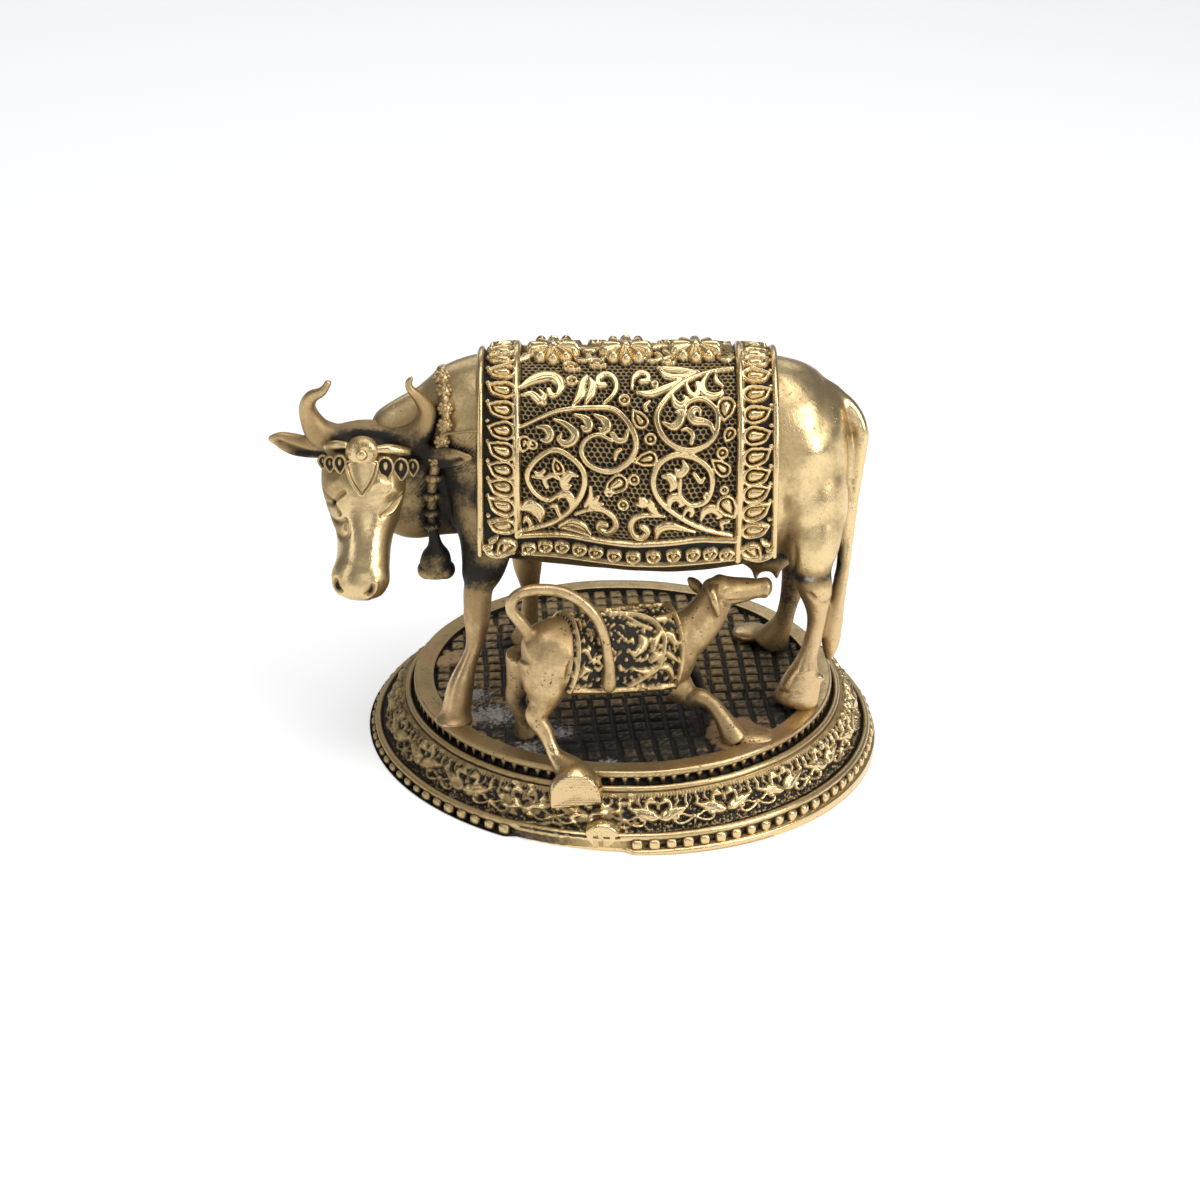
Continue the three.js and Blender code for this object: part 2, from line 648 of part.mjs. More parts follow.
// The cloth is one bent slab, a grid outside and the same grid sunk under the skin
function clothSlab() {
  const lengths = lengthLines();
  const drops = [...DROP_LINES.slice(1).reverse().map((down) => [down, NEAR]),
    ...DROP_LINES.map((down) => [down, FAR])];
  const positions = [];
  const index = [];
  for (const outside of [true, false]) {
    for (const along of lengths) {
      for (const [down, hand] of drops) {
        const lift = outside ? clothLift(along, down) : -CLOTH_SUNK;
        positions.push(...clothPlace(along, down, hand, lift).point.toArray());
      }
    }
  }
  const row = drops.length;
  const lastRow = row * (lengths.length - 1);
  const under = row * lengths.length;
  const quad = (a, b, c, d) => index.push(a, b, c, a, c, d);
  const petal = (i, j, corners) => {
    const hand = j < row / 2 - 1 ? NEAR : FAR;
    const along = (lengths[i] + lengths[i + 1]) / 2;
    const down = (drops[j][0] + drops[j + 1][0]) / 2;
    const peak = positions.length / 3;
    positions.push(...clothPlace(along, down, hand, CLOTH_THICKNESS + PETAL_RELIEF).point.toArray());
    corners.forEach((corner, k) => index.push(corner, corners[(k + 1) % 4], peak));
  };
  for (let i = 0; i < lengths.length - 1; i += 1) {
    const first = i * row;
    for (let j = 0; j < row - 1; j += 1) {
      const a = first + j;
      const corners = [a, a + row, a + row + 1, a + 1];
      if (isPetal(lengths[i], Math.min(drops[j][0], drops[j + 1][0]))) petal(i, j, corners);
      else quad(...corners);
      quad(under + a, under + a + 1, under + a + row + 1, under + a + row);
    }
    const last = first + row - 1;
    quad(first, under + first, under + first + row, first + row);
    quad(last, last + row, under + last + row, under + last);
  }
  for (let j = 0; j < row - 1; j += 1) {
    const end = lastRow + j;
    quad(j, j + 1, under + j + 1, under + j);
    quad(end, under + end, under + end + 1, end + 1);
  }
  return pointsToSolid(positions, index);
}

// Round bosses along the hem. The far side's hem is plain.
function hemRings() {
  const foot = roundFoot(HEM_RING_DIAMETER / 2, 4);
  return Array.from({ length: HEM_RINGS }, (_, k) => {
    const along = FRONT_RAIL + (REAR_RAIL - FRONT_RAIL) * (k + 0.5) / HEM_RINGS;
    return stud(clothPlace(along, RING_LINE, NEAR), new THREE.Vector3(1, 0, 1), foot, PETAL_RELIEF);
  });
}

// Rosettes over the spine, with petals round a middle knob
const ROSETTES = [0.256, 0.496, 0.727];
const ROSETTE_PETALS = 6;
const ROSETTE_REACH = 0.06;

function rosettes() {
  const list = [];
  const half = PETAL_LENGTH / 2;
  const petal = [[half, 0], [0, PETAL_WIDTH / 2], [-half, 0], [0, -PETAL_WIDTH / 2]];
  for (const along of ROSETTES) {
    for (let k = 0; k < ROSETTE_PETALS; k += 1) {
      const angle = 2 * Math.PI * (k + 0.5) / ROSETTE_PETALS;
      const aside = ROSETTE_REACH * Math.cos(angle);
      const down = ROSETTE_REACH * DROP_PER_LENGTH * Math.sin(angle);
      const place = clothPlace(along + aside, Math.abs(down), down < 0 ? NEAR : FAR);
      const middle = clothPlace(along, 0, FAR);
      list.push(stud(place, place.point.clone().sub(middle.point), petal, PETAL_RELIEF));
    }
  }
  return list;
}

// Vine scrolls: a stem that runs into a curl. `radius` is a share of the cloth's length,
// `from` and `sweep` are degrees from the rear towards the hem, and the curl keeps its radius
// up to `hook`, a share of its sweep, and then draws in.
const SCROLLS = [
  {
    stem: [[0.151, 0.425], [0.272, 0.355]],
    centre: [0.43, 0.455],
    radius: 0.098,
    from: -110,
    sweep: 470,
    hook: 0.5,
  },
  {
    stem: [[0.146, 0.835], [0.251, 0.785]],
    centre: [0.266, 0.6],
    radius: 0.094,
    from: 50,
    sweep: -340,
    hook: 0.8,
  },
  {
    stem: [[0.846, 0.155], [0.73, 0.2]],
    centre: [0.695, 0.39],
    radius: 0.095,
    from: 221,
    sweep: -345,
    hook: 0.75,
  },
  {
    stem: [[0.846, 0.825], [0.72, 0.765]],
    centre: [0.682, 0.595],
    radius: 0.095,
    from: 141,
    sweep: 345,
    hook: 0.75,
  },
];
const LEAVES = [
  {
    stem: [[0.334, 0.73], [0.39, 0.705]],
    centre: [0.428, 0.755],
    radius: 0.042,
    from: -70,
    sweep: 300,
    hook: 0.4,
  },
  {
    stem: [[0.627, 0.72], [0.57, 0.705]],
    centre: [0.535, 0.765],
    radius: 0.042,
    from: 250,
    sweep: -300,
    hook: 0.4,
  },
  {
    stem: [[0.151, 0.265], [0.19, 0.215]],
    centre: [0.24, 0.24],
    radius: 0.045,
    from: 220,
    sweep: 230,
    hook: 0.4,
  },
];
const CURL_STEP = 66;
const CURL_END = 0.3;

function curlPlaces({ stem, centre, radius, from, sweep, hook }, hand) {
  const places = stem.map(([along, down]) => clothPlace(along, down, hand));
  const steps = Math.ceil(Math.abs(sweep) / CURL_STEP);
  for (let i = 0; i <= steps; i += 1) {
    const share = i / steps;
    const drawn = Math.max(0, (share - hook) / (1 - hook));
    const reach = radius * (1 - (1 - CURL_END) * drawn);
    const angle = (from + sweep * share) * Math.PI / 180;
    const along = centre[0] + reach * Math.cos(angle);
    const down = centre[1] + reach * DROP_PER_LENGTH * Math.sin(angle);
    places.push(clothPlace(along, down, hand));
  }
  return places;
}

// The far side has the plainer scrolls only
function scrolls() {
  const vine = (curl, hand) => ridge(curlPlaces(curl, hand), SCROLL_WIDTH, SCROLL_RELIEF);
  const list = [...SCROLLS, ...LEAVES].map((curl) => vine(curl, NEAR));
  for (const { centre } of SCROLLS) {
    const eye = clothPlace(...centre, NEAR);
    list.push(stud(eye, new THREE.Vector3(1, 0, 1), roundFoot(SCROLL_WIDTH, 4), PETAL_RELIEF));
  }
  for (const curl of SCROLLS.slice(1, 3)) list.push(vine(curl, FAR));
  return list;
}

// A string of beads swells and narrows along its curve
function beadString(stations, beads) {
  const rings = 2 * beads;
  return Array.from({ length: rings + 1 }, (_, k) => {
    const [x, y, z, radius] = smoothRow(stations, k / rings);
    return [x, y, z, k % 2 ? radius : radius * BEAD_WAIST];
  });
}

// The near side shows its beads, the far side is a plain cord
function garland() {
  const far = GARLAND.map(([x, y, z, radius]) => [x, 2 * GARLAND_MIDDLE - y, z, radius]);
  const near = beadString(GARLAND, GARLAND_BEADS);
  const across = [0, 1, 0];
  return [
    limb(far, COW_PART, { sides: 5, rings: 7, side: across }),
    limb(near, COW_PART, { sides: 5, rings: 2 * GARLAND_BEADS, side: across }),
    limb(BELL, COW_PART, { sides: 7, rings: 4 }),
  ];
}

function headOrnaments() {
  return [
    ball(FOREHEAD.boss, COW_PART, 8, 4),
    ball(FOREHEAD.pendant, COW_PART, 6, 4),
    ...FOREHEAD.eyes.map((eye) => ball(eye, COW_PART, 5, 3)),
    ...FOREHEAD.nostrils.map((nostril) => ball(nostril, COW_PART, 5, 3)),
    limb(HEADBAND, COW_PART, { sides: 5, rings: 6, side: [0, 0, 1] }),
  ];
}

function udder() {
  const teat = ([x, y]) => {
    const stations = [[x, y, TEAT.top, TEAT.width / 2], [x, y, TEAT.tip, TEAT.tipWidth / 2]];
    return limb(stations, COW_PART, { sides: 4, rings: 1 });
  };
  return [ball(UDDER, COW_PART, 8, 5), ...TEATS.map(teat)];
}

function cow() {
  const level = [0, 1, 0];
  return join([
    limb(TRUNK, COW_PART, { sides: 16, rings: 11, side: level }),
    limb(NECK, COW_PART, { sides: 10, rings: 4, side: level }),
    limb(HEAD, COW_PART, { sides: 11, rings: 9 }),
    limb(OUTER_HORN, COW_PART, { sides: 6, rings: 8, side: level }),
    limb(INNER_HORN, COW_PART, { sides: 6, rings: 8, side: level }),
    limb(OUTER_EAR, COW_PART, { sides: 6, rings: 4, side: [0, 0, 1] }),
    limb(INNER_EAR, COW_PART, { sides: 6, rings: 4, side: [0, 0, 1] }),
    limb(TAIL, COW_PART, { sides: 5, rings: 13 }),
    limb(SLEEVE, COW_PART, { sides: 8, rings: 3 }),
    ...Object.values(LEGS).map((leg) => limb(leg, COW_PART, { sides: 6, rings: 8 })),
    ...SHOULDERS_AND_HIPS.map((swell) => ball(swell, COW_PART, 8, 5)),
    ...headOrnaments(),
    ...garland(),
    ...udder(),
    clothSlab(),
    ...hemRings(),
    ...rosettes(),
    ...scrolls(),
  ]);
}

// Calf: it stands askew beside the cow, its head raised to the udder

const CALF_SIDE = [0.454, -0.891, 0];

const CALF_TRUNK = [
  [-19.8, -33.4, 19.5, 1.5, 2.0],
  [-18.6, -32.9, 19.6, 4.4, 5.2],
  [-15.5, -31.3, 19.4, 5.9, 7.2],
  [-10.0, -28.6, 18.2, 6.2, 7.6],
  [-2.0, -24.8, 16.8, 6.3, 7.9],
  [5.0, -21.4, 15.6, 6.2, 8.0],
  [9.5, -19.2, 15.0, 5.2, 6.8],
  [11.5, -18.3, 14.6, 2.6, 3.6],
];

const CALF_NECK = [
  [7.6, -21.0, 16.5, 4.7],
  [11.0, -19.5, 18.5, 4.3],
  [13.8, -17.8, 21.2, 3.8],
  [15.8, -16.5, 24.1, 3.2],
];

const CALF_HEAD = [
  [13.7, -16.5, 26.4, 1.7],
  [15.8, -16.0, 25.4, 3.2],
  [18.5, -15.0, 24.9, 2.8],
  [21.4, -14.2, 24.8, 2.3],
  [23.9, -13.6, 24.8, 1.9],
  [25.4, -13.2, 24.7, 2.0],
  [26.4, -13.0, 24.5, 1.1],
];

const CALF_EARS = [
  [
    [15.2, -17.4, 26.4, 1.2],
    [15.0, -19.8, 27.0, 0.9],
    [15.3, -20.6, 25.7, 0.95],
    [15.9, -21.0, 24.1, 0.7],
    [16.1, -21.2, 22.5, 0.3],
  ],
  [
    [14.8, -15.0, 24.6, 1.3],
    [13.5, -13.6, 24.0, 0.9],
    [12.2, -12.3, 24.7, 1.2],
    [11.3, -11.7, 25.4, 0.9],
    [10.7, -11.3, 26.0, 0.3],
  ],
];

// The near hind hoof hangs over the platform's edge
const RIM_Y = -(PLATFORM_RADIUS + HOOF_OVERHANG / 2) / CALF_PART;
const HOOF_END_Y = -(PLATFORM_RADIUS + HOOF_OVERHANG) / CALF_PART;

const CALF_LEGS = {
  nearHind: [
    [-16.1, -32.0, 19.1, 5.0],
    [-16.1, -33.5, 13.6, 3.9],
    [-16.8, -34.5, 10.8, 2.4],
    [-17.8, -35.0, 9.0, 2.0],
    [-16.1, -36.0, 6.2, 1.6],
    [-15.0, -37.0, 3.8, 1.3],
    [-13.9, -38.0, 2.0, 1.7],
    [-11.5, -40.0, 0.2, 3.0],
    [-10.4, RIM_Y, -1.6, 4.4],
    [-10.0, HOOF_END_Y, -4.9, 4.2],
  ],
  farHind: [
    [-19.8, -28.0, 18.0, 3.7],
    [-21.0, -27.5, 11.9, 2.4],
    [-21.7, -27.0, 8.7, 1.9],
    [-20.8, -26.5, 5.2, 1.5],
    [-20.3, -26.0, 2.8, 1.7],
    [-20.0, -25.6, 0.0, 2.3],
  ],
  nearFront: [
    [8.4, -21.5, 8.3, 3.4],
    [11.0, -22.5, 6.5, 2.1],
    [13.2, -24.0, 6.9, 1.7],
    [15.3, -25.0, 5.9, 1.5],
    [17.0, -26.5, 4.1, 1.7],
    [19.0, -28.0, 1.1, 2.4],
    [19.8, -28.4, 0.0, 2.5],
  ],
  farFront: [
    [8.0, -17.4, 14.6, 3.0],
    [10.0, -15.4, 11.0, 2.0],
    [12.0, -14.5, 7.2, 1.3],
    [13.6, -14.0, 3.2, 1.2],
    [15.0, -13.5, 0.0, 1.5],
  ],
};

const CALF_TAIL = [
  [-18.6, -32.5, 24.3, 1.3],
  [-20.5, -33.0, 27.4, 1.2],
  [-22.1, -33.2, 30.3, 1.1],
  [-21.0, -33.0, 32.8, 1.1],
  [-17.7, -32.6, 33.7, 1.1],
  [-13.9, -32.4, 33.4, 1.1],
  [-10.3, -32.6, 32.0, 1.1],
  [-7.4, -33.0, 29.4, 1.1],
  [-5.6, -33.2, 25.8, 1.0],
  [-4.7, -33.4, 21.8, 1.0],
  [-4.3, -33.6, 18.2, 1.1],
  [-4.3, -33.8, 15.4, 1.4],
  [-4.3, -33.8, 13.6, 0.7],
];

// Braze spread over the platform at the near front hoof
const BRAZE = [22.2, -27.2, 0, 5.0, 3.0, 1.6];

function calf() {
  const stance = { side: CALF_SIDE };
  return join([
    limb(CALF_TRUNK, CALF_PART, { ...stance, sides: 12, rings: 7 }),
    limb(CALF_NECK, CALF_PART, { ...stance, sides: 7, rings: 3 }),
    limb(CALF_HEAD, CALF_PART, { ...stance, sides: 7, rings: 6 }),
    limb(CALF_TAIL, CALF_PART, { ...stance, sides: 5, rings: 12 }),
    ...CALF_EARS.map((ear) => limb(ear, CALF_PART, { ...stance, sides: 5, rings: 3 })),
    ...Object.values(CALF_LEGS).map((leg) => limb(leg, CALF_PART, { sides: 6, rings: 7 })),
    ball(BRAZE, CALF_PART, 8, 4),
  ]);
}

// The figures stand on the platform, and the whole is turned until its underside is level
const figures = new THREE.Group();
const room = plinthRoom();

function addPiece(name, solid, finish, place) {
  const mesh = new THREE.Mesh(toGeometry(solid), new THREE.MeshStandardMaterial(finish));
  mesh.name = name;
  mesh.position.set(...place);
  figures.add(mesh);
}

addPiece('plinth', plinth(), DARK_BRASS, [0, 0, 0]);
addPiece('cow', cow().subtract(room), BRASS, [FIGURES_SHIFT, 0, PLINTH_HEIGHT]);
addPiece('calf', calf().subtract(room), COPPER_BRASS, [FIGURES_SHIFT, 0, PLINTH_HEIGHT]);
figures.rotation.y = -Math.atan(UNDERSIDE_SLOPE);

const statue = new THREE.Group();
statue.add(figures);
const box = new THREE.Box3().setFromObject(statue, true);
const middle = box.getCenter(new THREE.Vector3());
figures.position.set(-middle.x, -middle.y, -box.min.z);

export default statue;
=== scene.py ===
# A cast brass cow with a suckling calf on a round carved plinth. The figures are lofted and melted into one
# skin, the cloth, the frieze and the platform are carved as reliefs, and dark patina lies in every hollow.
# Shade is also painted into the colour where parts close each other in and on the plinth's left end, and
# highlights are painted in patches on the figures.

import math

import bpy
import numpy as np
from mathutils import Matrix, Vector
from mathutils.bvhtree import BVHTree


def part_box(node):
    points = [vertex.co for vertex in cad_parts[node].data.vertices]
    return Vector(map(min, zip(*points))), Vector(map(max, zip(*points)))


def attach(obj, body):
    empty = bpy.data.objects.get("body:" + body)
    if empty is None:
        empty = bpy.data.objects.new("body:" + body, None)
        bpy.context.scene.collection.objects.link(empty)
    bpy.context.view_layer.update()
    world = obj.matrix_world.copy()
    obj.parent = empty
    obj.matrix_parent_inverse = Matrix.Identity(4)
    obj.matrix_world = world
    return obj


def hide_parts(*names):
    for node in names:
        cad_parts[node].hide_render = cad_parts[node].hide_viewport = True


bl_info = {
    "name": "Cow and calf statue",
    "version": (1, 0, 0),
    "blender": (4, 5, 0),
    "location": "3D View > Sidebar > Statue",
    "description": "Models a cast brass cow and calf on a carved round plinth",
    "category": "Add Mesh",
}

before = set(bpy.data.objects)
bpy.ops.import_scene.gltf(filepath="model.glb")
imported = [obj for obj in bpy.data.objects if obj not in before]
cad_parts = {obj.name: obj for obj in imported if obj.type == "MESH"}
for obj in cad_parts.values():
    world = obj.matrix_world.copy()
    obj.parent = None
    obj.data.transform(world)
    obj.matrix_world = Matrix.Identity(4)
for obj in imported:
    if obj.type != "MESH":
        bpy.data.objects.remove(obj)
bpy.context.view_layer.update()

# Lengths are millimetres. The plinth is drawn round its own axis with z up from its foot, and
# the figures from the platform's top.
MM = 0.001
UNDERSIDE_SLOPE = 0.039
LEAN = math.atan(UNDERSIDE_SLOPE)
FOOT_LIFT = 0.24
PLINTH_HEIGHT = 11.5
FIGURES_SHIFT = 1.5

# Camera, in the plinth's frame
LENS = 85
SENSOR = 36
CAMERA_HEIGHT = math.radians(26.2)
CAMERA_TARGET = (-4.45, 0.0, 27.1)
CAMERA_DISTANCE = 551


def plinth_place():
    """The matrix from the plinth's own frame to the row frame"""
    low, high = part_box("plinth")
    foot = (low + high) / 2
    foot.z = FOOT_LIFT * MM
    turn = Matrix.Rotation(-LEAN, 4, "Y")
    return Matrix.Translation(foot) @ turn @ Matrix.Scale(MM, 4)


PLINTH_PLACE = plinth_place()
FIGURES_PLACE = PLINTH_PLACE @ Matrix.Translation((FIGURES_SHIFT, 0, PLINTH_HEIGHT))


# Meshes. Vertices nearer than DOUBLED millimetres are merged.
DOUBLED = 1e-4


def deselect():
    bpy.ops.object.select_all(action="DESELECT")


def select_only(piece):
    deselect()
    piece.select_set(True)
    bpy.context.view_layer.objects.active = piece


def points_of(piece):
    points = np.empty(len(piece.data.vertices) * 3)
    piece.data.vertices.foreach_get("co", points)
    return points.reshape(-1, 3)


def set_points(piece, points):
    piece.data.vertices.foreach_set("co", np.ravel(points))
    piece.data.update()


def normals_of(piece):
    normals = np.empty(len(piece.data.vertices) * 3, np.float32)
    piece.data.vertex_normals.foreach_get("vector", normals)
    return normals.reshape(-1, 3).astype(float)


def edges_of(piece):
    edges = np.empty(len(piece.data.edges) * 2, np.int32)
    piece.data.edges.foreach_get("vertices", edges)
    return edges.reshape(-1, 2)


def set_layer(piece, name, values):
    """A number on every vertex, read by the piece's material"""
    layer = piece.data.attributes.new(name, "FLOAT", "POINT")
    layer.data.foreach_set("value", np.asarray(values, np.float32))


def layer_of(piece, name):
    values = np.empty(len(piece.data.vertices), np.float32)
    piece.data.attributes[name].data.foreach_get("value", values)
    return values.astype(float)


def clean(piece):
    """Doubled vertices are merged and faces turned outwards"""
    select_only(piece)
    bpy.ops.object.mode_set(mode="EDIT")
    bpy.ops.mesh.select_all(action="SELECT")
    bpy.ops.mesh.remove_doubles(threshold=DOUBLED)
    bpy.ops.mesh.normals_make_consistent(inside=False)
    bpy.ops.object.mode_set(mode="OBJECT")


def finish_piece(piece, place, material, nodes=()):
    """The piece goes to its place in the row frame, and takes its finish and its body"""
    piece.data.transform(place)
    piece.data.materials.clear()
    piece.data.materials.append(material)
    select_only(piece)
    bpy.ops.object.shade_smooth()
    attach(piece, "root")
    if nodes:
        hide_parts(*nodes)


def grid(name, columns, rows, place):
    """A grid whose vertices are carried to place(u, v), with u and v from 0 to 1"""
    deselect()
    bpy.ops.mesh.primitive_grid_add(x_subdivisions=columns, y_subdivisions=rows, size=1)
    piece = bpy.context.object
    piece.name = name
    shares = points_of(piece)[:, :2] + 0.5
    set_points(piece, place(shares[:, 0], shares[:, 1]))
    return piece


def smooth_rows(rows, t):
    """Rows of numbers joined by a smooth curve, read at every t from 0 to 1"""
    rows = np.asarray(rows, float)
    first = 2 * rows[0] - rows[1]
    last = 2 * rows[-1] - rows[-2]
    padded = np.concatenate([[first], rows, [last]])
    reach = np.clip(t, 0, 1) * (len(rows) - 1)
    k = np.minimum(reach.astype(int), len(rows) - 2)
    f = (reach - k)[:, None]
    before, start, end, after = (padded[k + i] for i in range(4))
    slope_in = (end - before) / 2
    slope_out = (after - start) / 2
    rise = end - start
    cubic = slope_in + slope_out - 2 * rise
    square = 3 * rise - 2 * slope_in - slope_out
    return start + f * (slope_in + f * (square + f * cubic))


def unit(vectors):
    return vectors / np.maximum(np.linalg.norm(vectors, axis=-1, keepdims=True), 1e-12)


def full(stations):
    """Stations [x, y, z, across, deep], where a missing deep makes the section round"""
    return np.array([[*row, row[3]] if len(row) == 4 else row for row in stations], float)


# Directions that a limb's section is drawn across
LENGTHWISE = (1, 0, 0)
LEVEL = (0, 1, 0)
UPRIGHT = (0, 0, 1)
TANGENT_STEP = 1e-3


def tangent_at(rows, t):
    return unit(smooth_rows(rows, t + TANGENT_STEP)[:, :3] - smooth_rows(rows, t - TANGENT_STEP)[:, :3])


def limb(stations, side, sides, steps):
    """An oval section carried along a curve, closed at both ends"""
    rows = full(stations)
    rings = steps * (len(rows) - 1) + 3
    sideways = np.array(side, float)

    def place(u, v):
        ring = np.rint(v * rings)
        t = np.clip((ring - 1) / (rings - 2), 0, 1)
        row = smooth_rows(rows, t)
        tangent = tangent_at(rows, t)
        across = unit(sideways - tangent * (tangent @ sideways)[:, None])
        deep = np.cross(tangent, across)
        angle = 2 * math.pi * u
        open_end = ((ring > 0) & (ring < rings))[:, None]
        aside = across * (row[:, 3] * np.cos(angle))[:, None]
        away = deep * (row[:, 4] * np.sin(angle))[:, None]
        return row[:, :3] + (aside + away) * open_end

    piece = grid("limb", sides, rings, place)
    clean(piece)
    return piece


def ball(centre, radii, name="ball", segments=24, rings=16):
    deselect()
    bpy.ops.mesh.primitive_uv_sphere_add(segments=segments, ring_count=rings, radius=1)
    piece = bpy.context.object
    piece.name = name
    set_points(piece, points_of(piece) * radii + centre)
    return piece


def joined(name, pieces):
    deselect()
    for piece in pieces:
        piece.select_set(True)
    bpy.context.view_layer.objects.active = pieces[0]
    if len(pieces) > 1:
        bpy.ops.object.join()
    pieces[0].name = name
    return pieces[0]


def melted(name, pieces, grain, smoothing):
    """The pieces as one closed skin with faces of an even size"""
    piece = joined(name, pieces)
    select_only(piece)
    melt = piece.modifiers.new("melt", "REMESH")
    melt.mode = "VOXEL"
    melt.voxel_size = grain
    melt.use_smooth_shade = True
    bpy.ops.object.modifier_apply(modifier=melt.name)
    polish = piece.modifiers.new("polish", "SMOOTH")
    polish.factor = 0.5
    polish.iterations = smoothing
    bpy.ops.object.modifier_apply(modifier=polish.name)
    return piece


# Measures on a skin

def neighbour_mean(values, edges):
    """Each vertex takes the mean of the vertices that it shares an edge with"""
    count = len(values)
    links = np.bincount(edges.ravel(), minlength=count)
    total = np.empty_like(values)
    for axis in range(values.shape[1]):
        column = values[:, axis]
        total[:, axis] = np.bincount(edges[:, 0], column[edges[:, 1]], count)
        total[:, axis] += np.bincount(edges[:, 1], column[edges[:, 0]], count)
    return total / np.maximum(links, 1)[:, None]


def hollows(piece, passes):
    """How far each vertex lies below its softened surroundings, in the mesh's own lengths"""
    points = points_of(piece)
    edges = edges_of(piece)
    soft = points
    for _ in range(passes):
        soft = neighbour_mean(soft, edges)
    return ((soft - points) * normals_of(piece)).sum(1)


def spread(values, edges, passes):
    """One number for each vertex, softened over its neighbours"""
    column = np.asarray(values, float)[:, None]
    for _ in range(passes):
        column = neighbour_mean(column, edges)
    return column[:, 0]


def step_between(low, high, values):
    """0 up to `low`, 1 from `high`, and a smooth rise from one to the other"""
    share = np.clip((values - low) / (high - low), 0, 1)
    return share * share * (3 - 2 * share)


def solids_tree(place):
    """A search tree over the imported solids, in a piece's own millimetres"""
    back = place.inverted()
    points = []
    faces = []
    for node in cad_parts.values():
        start = len(points)
        points.extend(back @ vertex.co for vertex in node.data.vertices)
        faces.extend([start + corner for corner in face.vertices] for face in node.data.polygons)
    return BVHTree.FromPolygons(points, faces)


# Rays that look for closed places: how many, how long and how far over the skin they start
RAY_COUNT = 14
RAY_REACH = 22.0
RAY_START = 1.4
RAY_SPREAD = 8


def openness(piece, place, every):
    """The share of rays that leave each vertex freely"""
    tree = solids_tree(place)
    points = points_of(piece)
    normals = normals_of(piece)
    edges = edges_of(piece)
    turns = math.pi * (3 - math.sqrt(5)) * np.arange(RAY_COUNT)
    heights = 1 - (np.arange(RAY_COUNT) + 0.5) / RAY_COUNT
    flat = np.sqrt(1 - heights ** 2)
    sky = np.stack([flat * np.cos(turns), flat * np.sin(turns), heights], 1)
    seen = np.zeros(len(points))
    told = np.zeros(len(points))
    for i in range(0, len(points), every):
        normal = normals[i]
        rays = unit(sky @ frame_of(normal))
        start = Vector(points[i] + normal * RAY_START)
        free = sum(tree.ray_cast(start, Vector(ray), RAY_REACH)[0] is None for ray in rays)
        seen[i] = free / RAY_COUNT
        told[i] = 1
    return spread(seen, edges, RAY_SPREAD) / np.maximum(spread(told, edges, RAY_SPREAD), 1e-6)


def frame_of(normal):
    """Three rows: two directions square to a normal, and the normal"""
    helper = np.array((1.0, 0, 0)) if abs(normal[0]) < 0.8 else np.array((0, 1.0, 0))
    across = np.cross(normal, helper)
    across /= np.linalg.norm(across)
    return np.stack([across, np.cross(normal, across), normal])


# Reliefs. A height of NOWHERE never shows, and a soft ridge reaches SOFT_REACH half widths.
NOWHERE = -9
SOFT_REACH = 2.2
GROOVE_WIDTH = 0.22


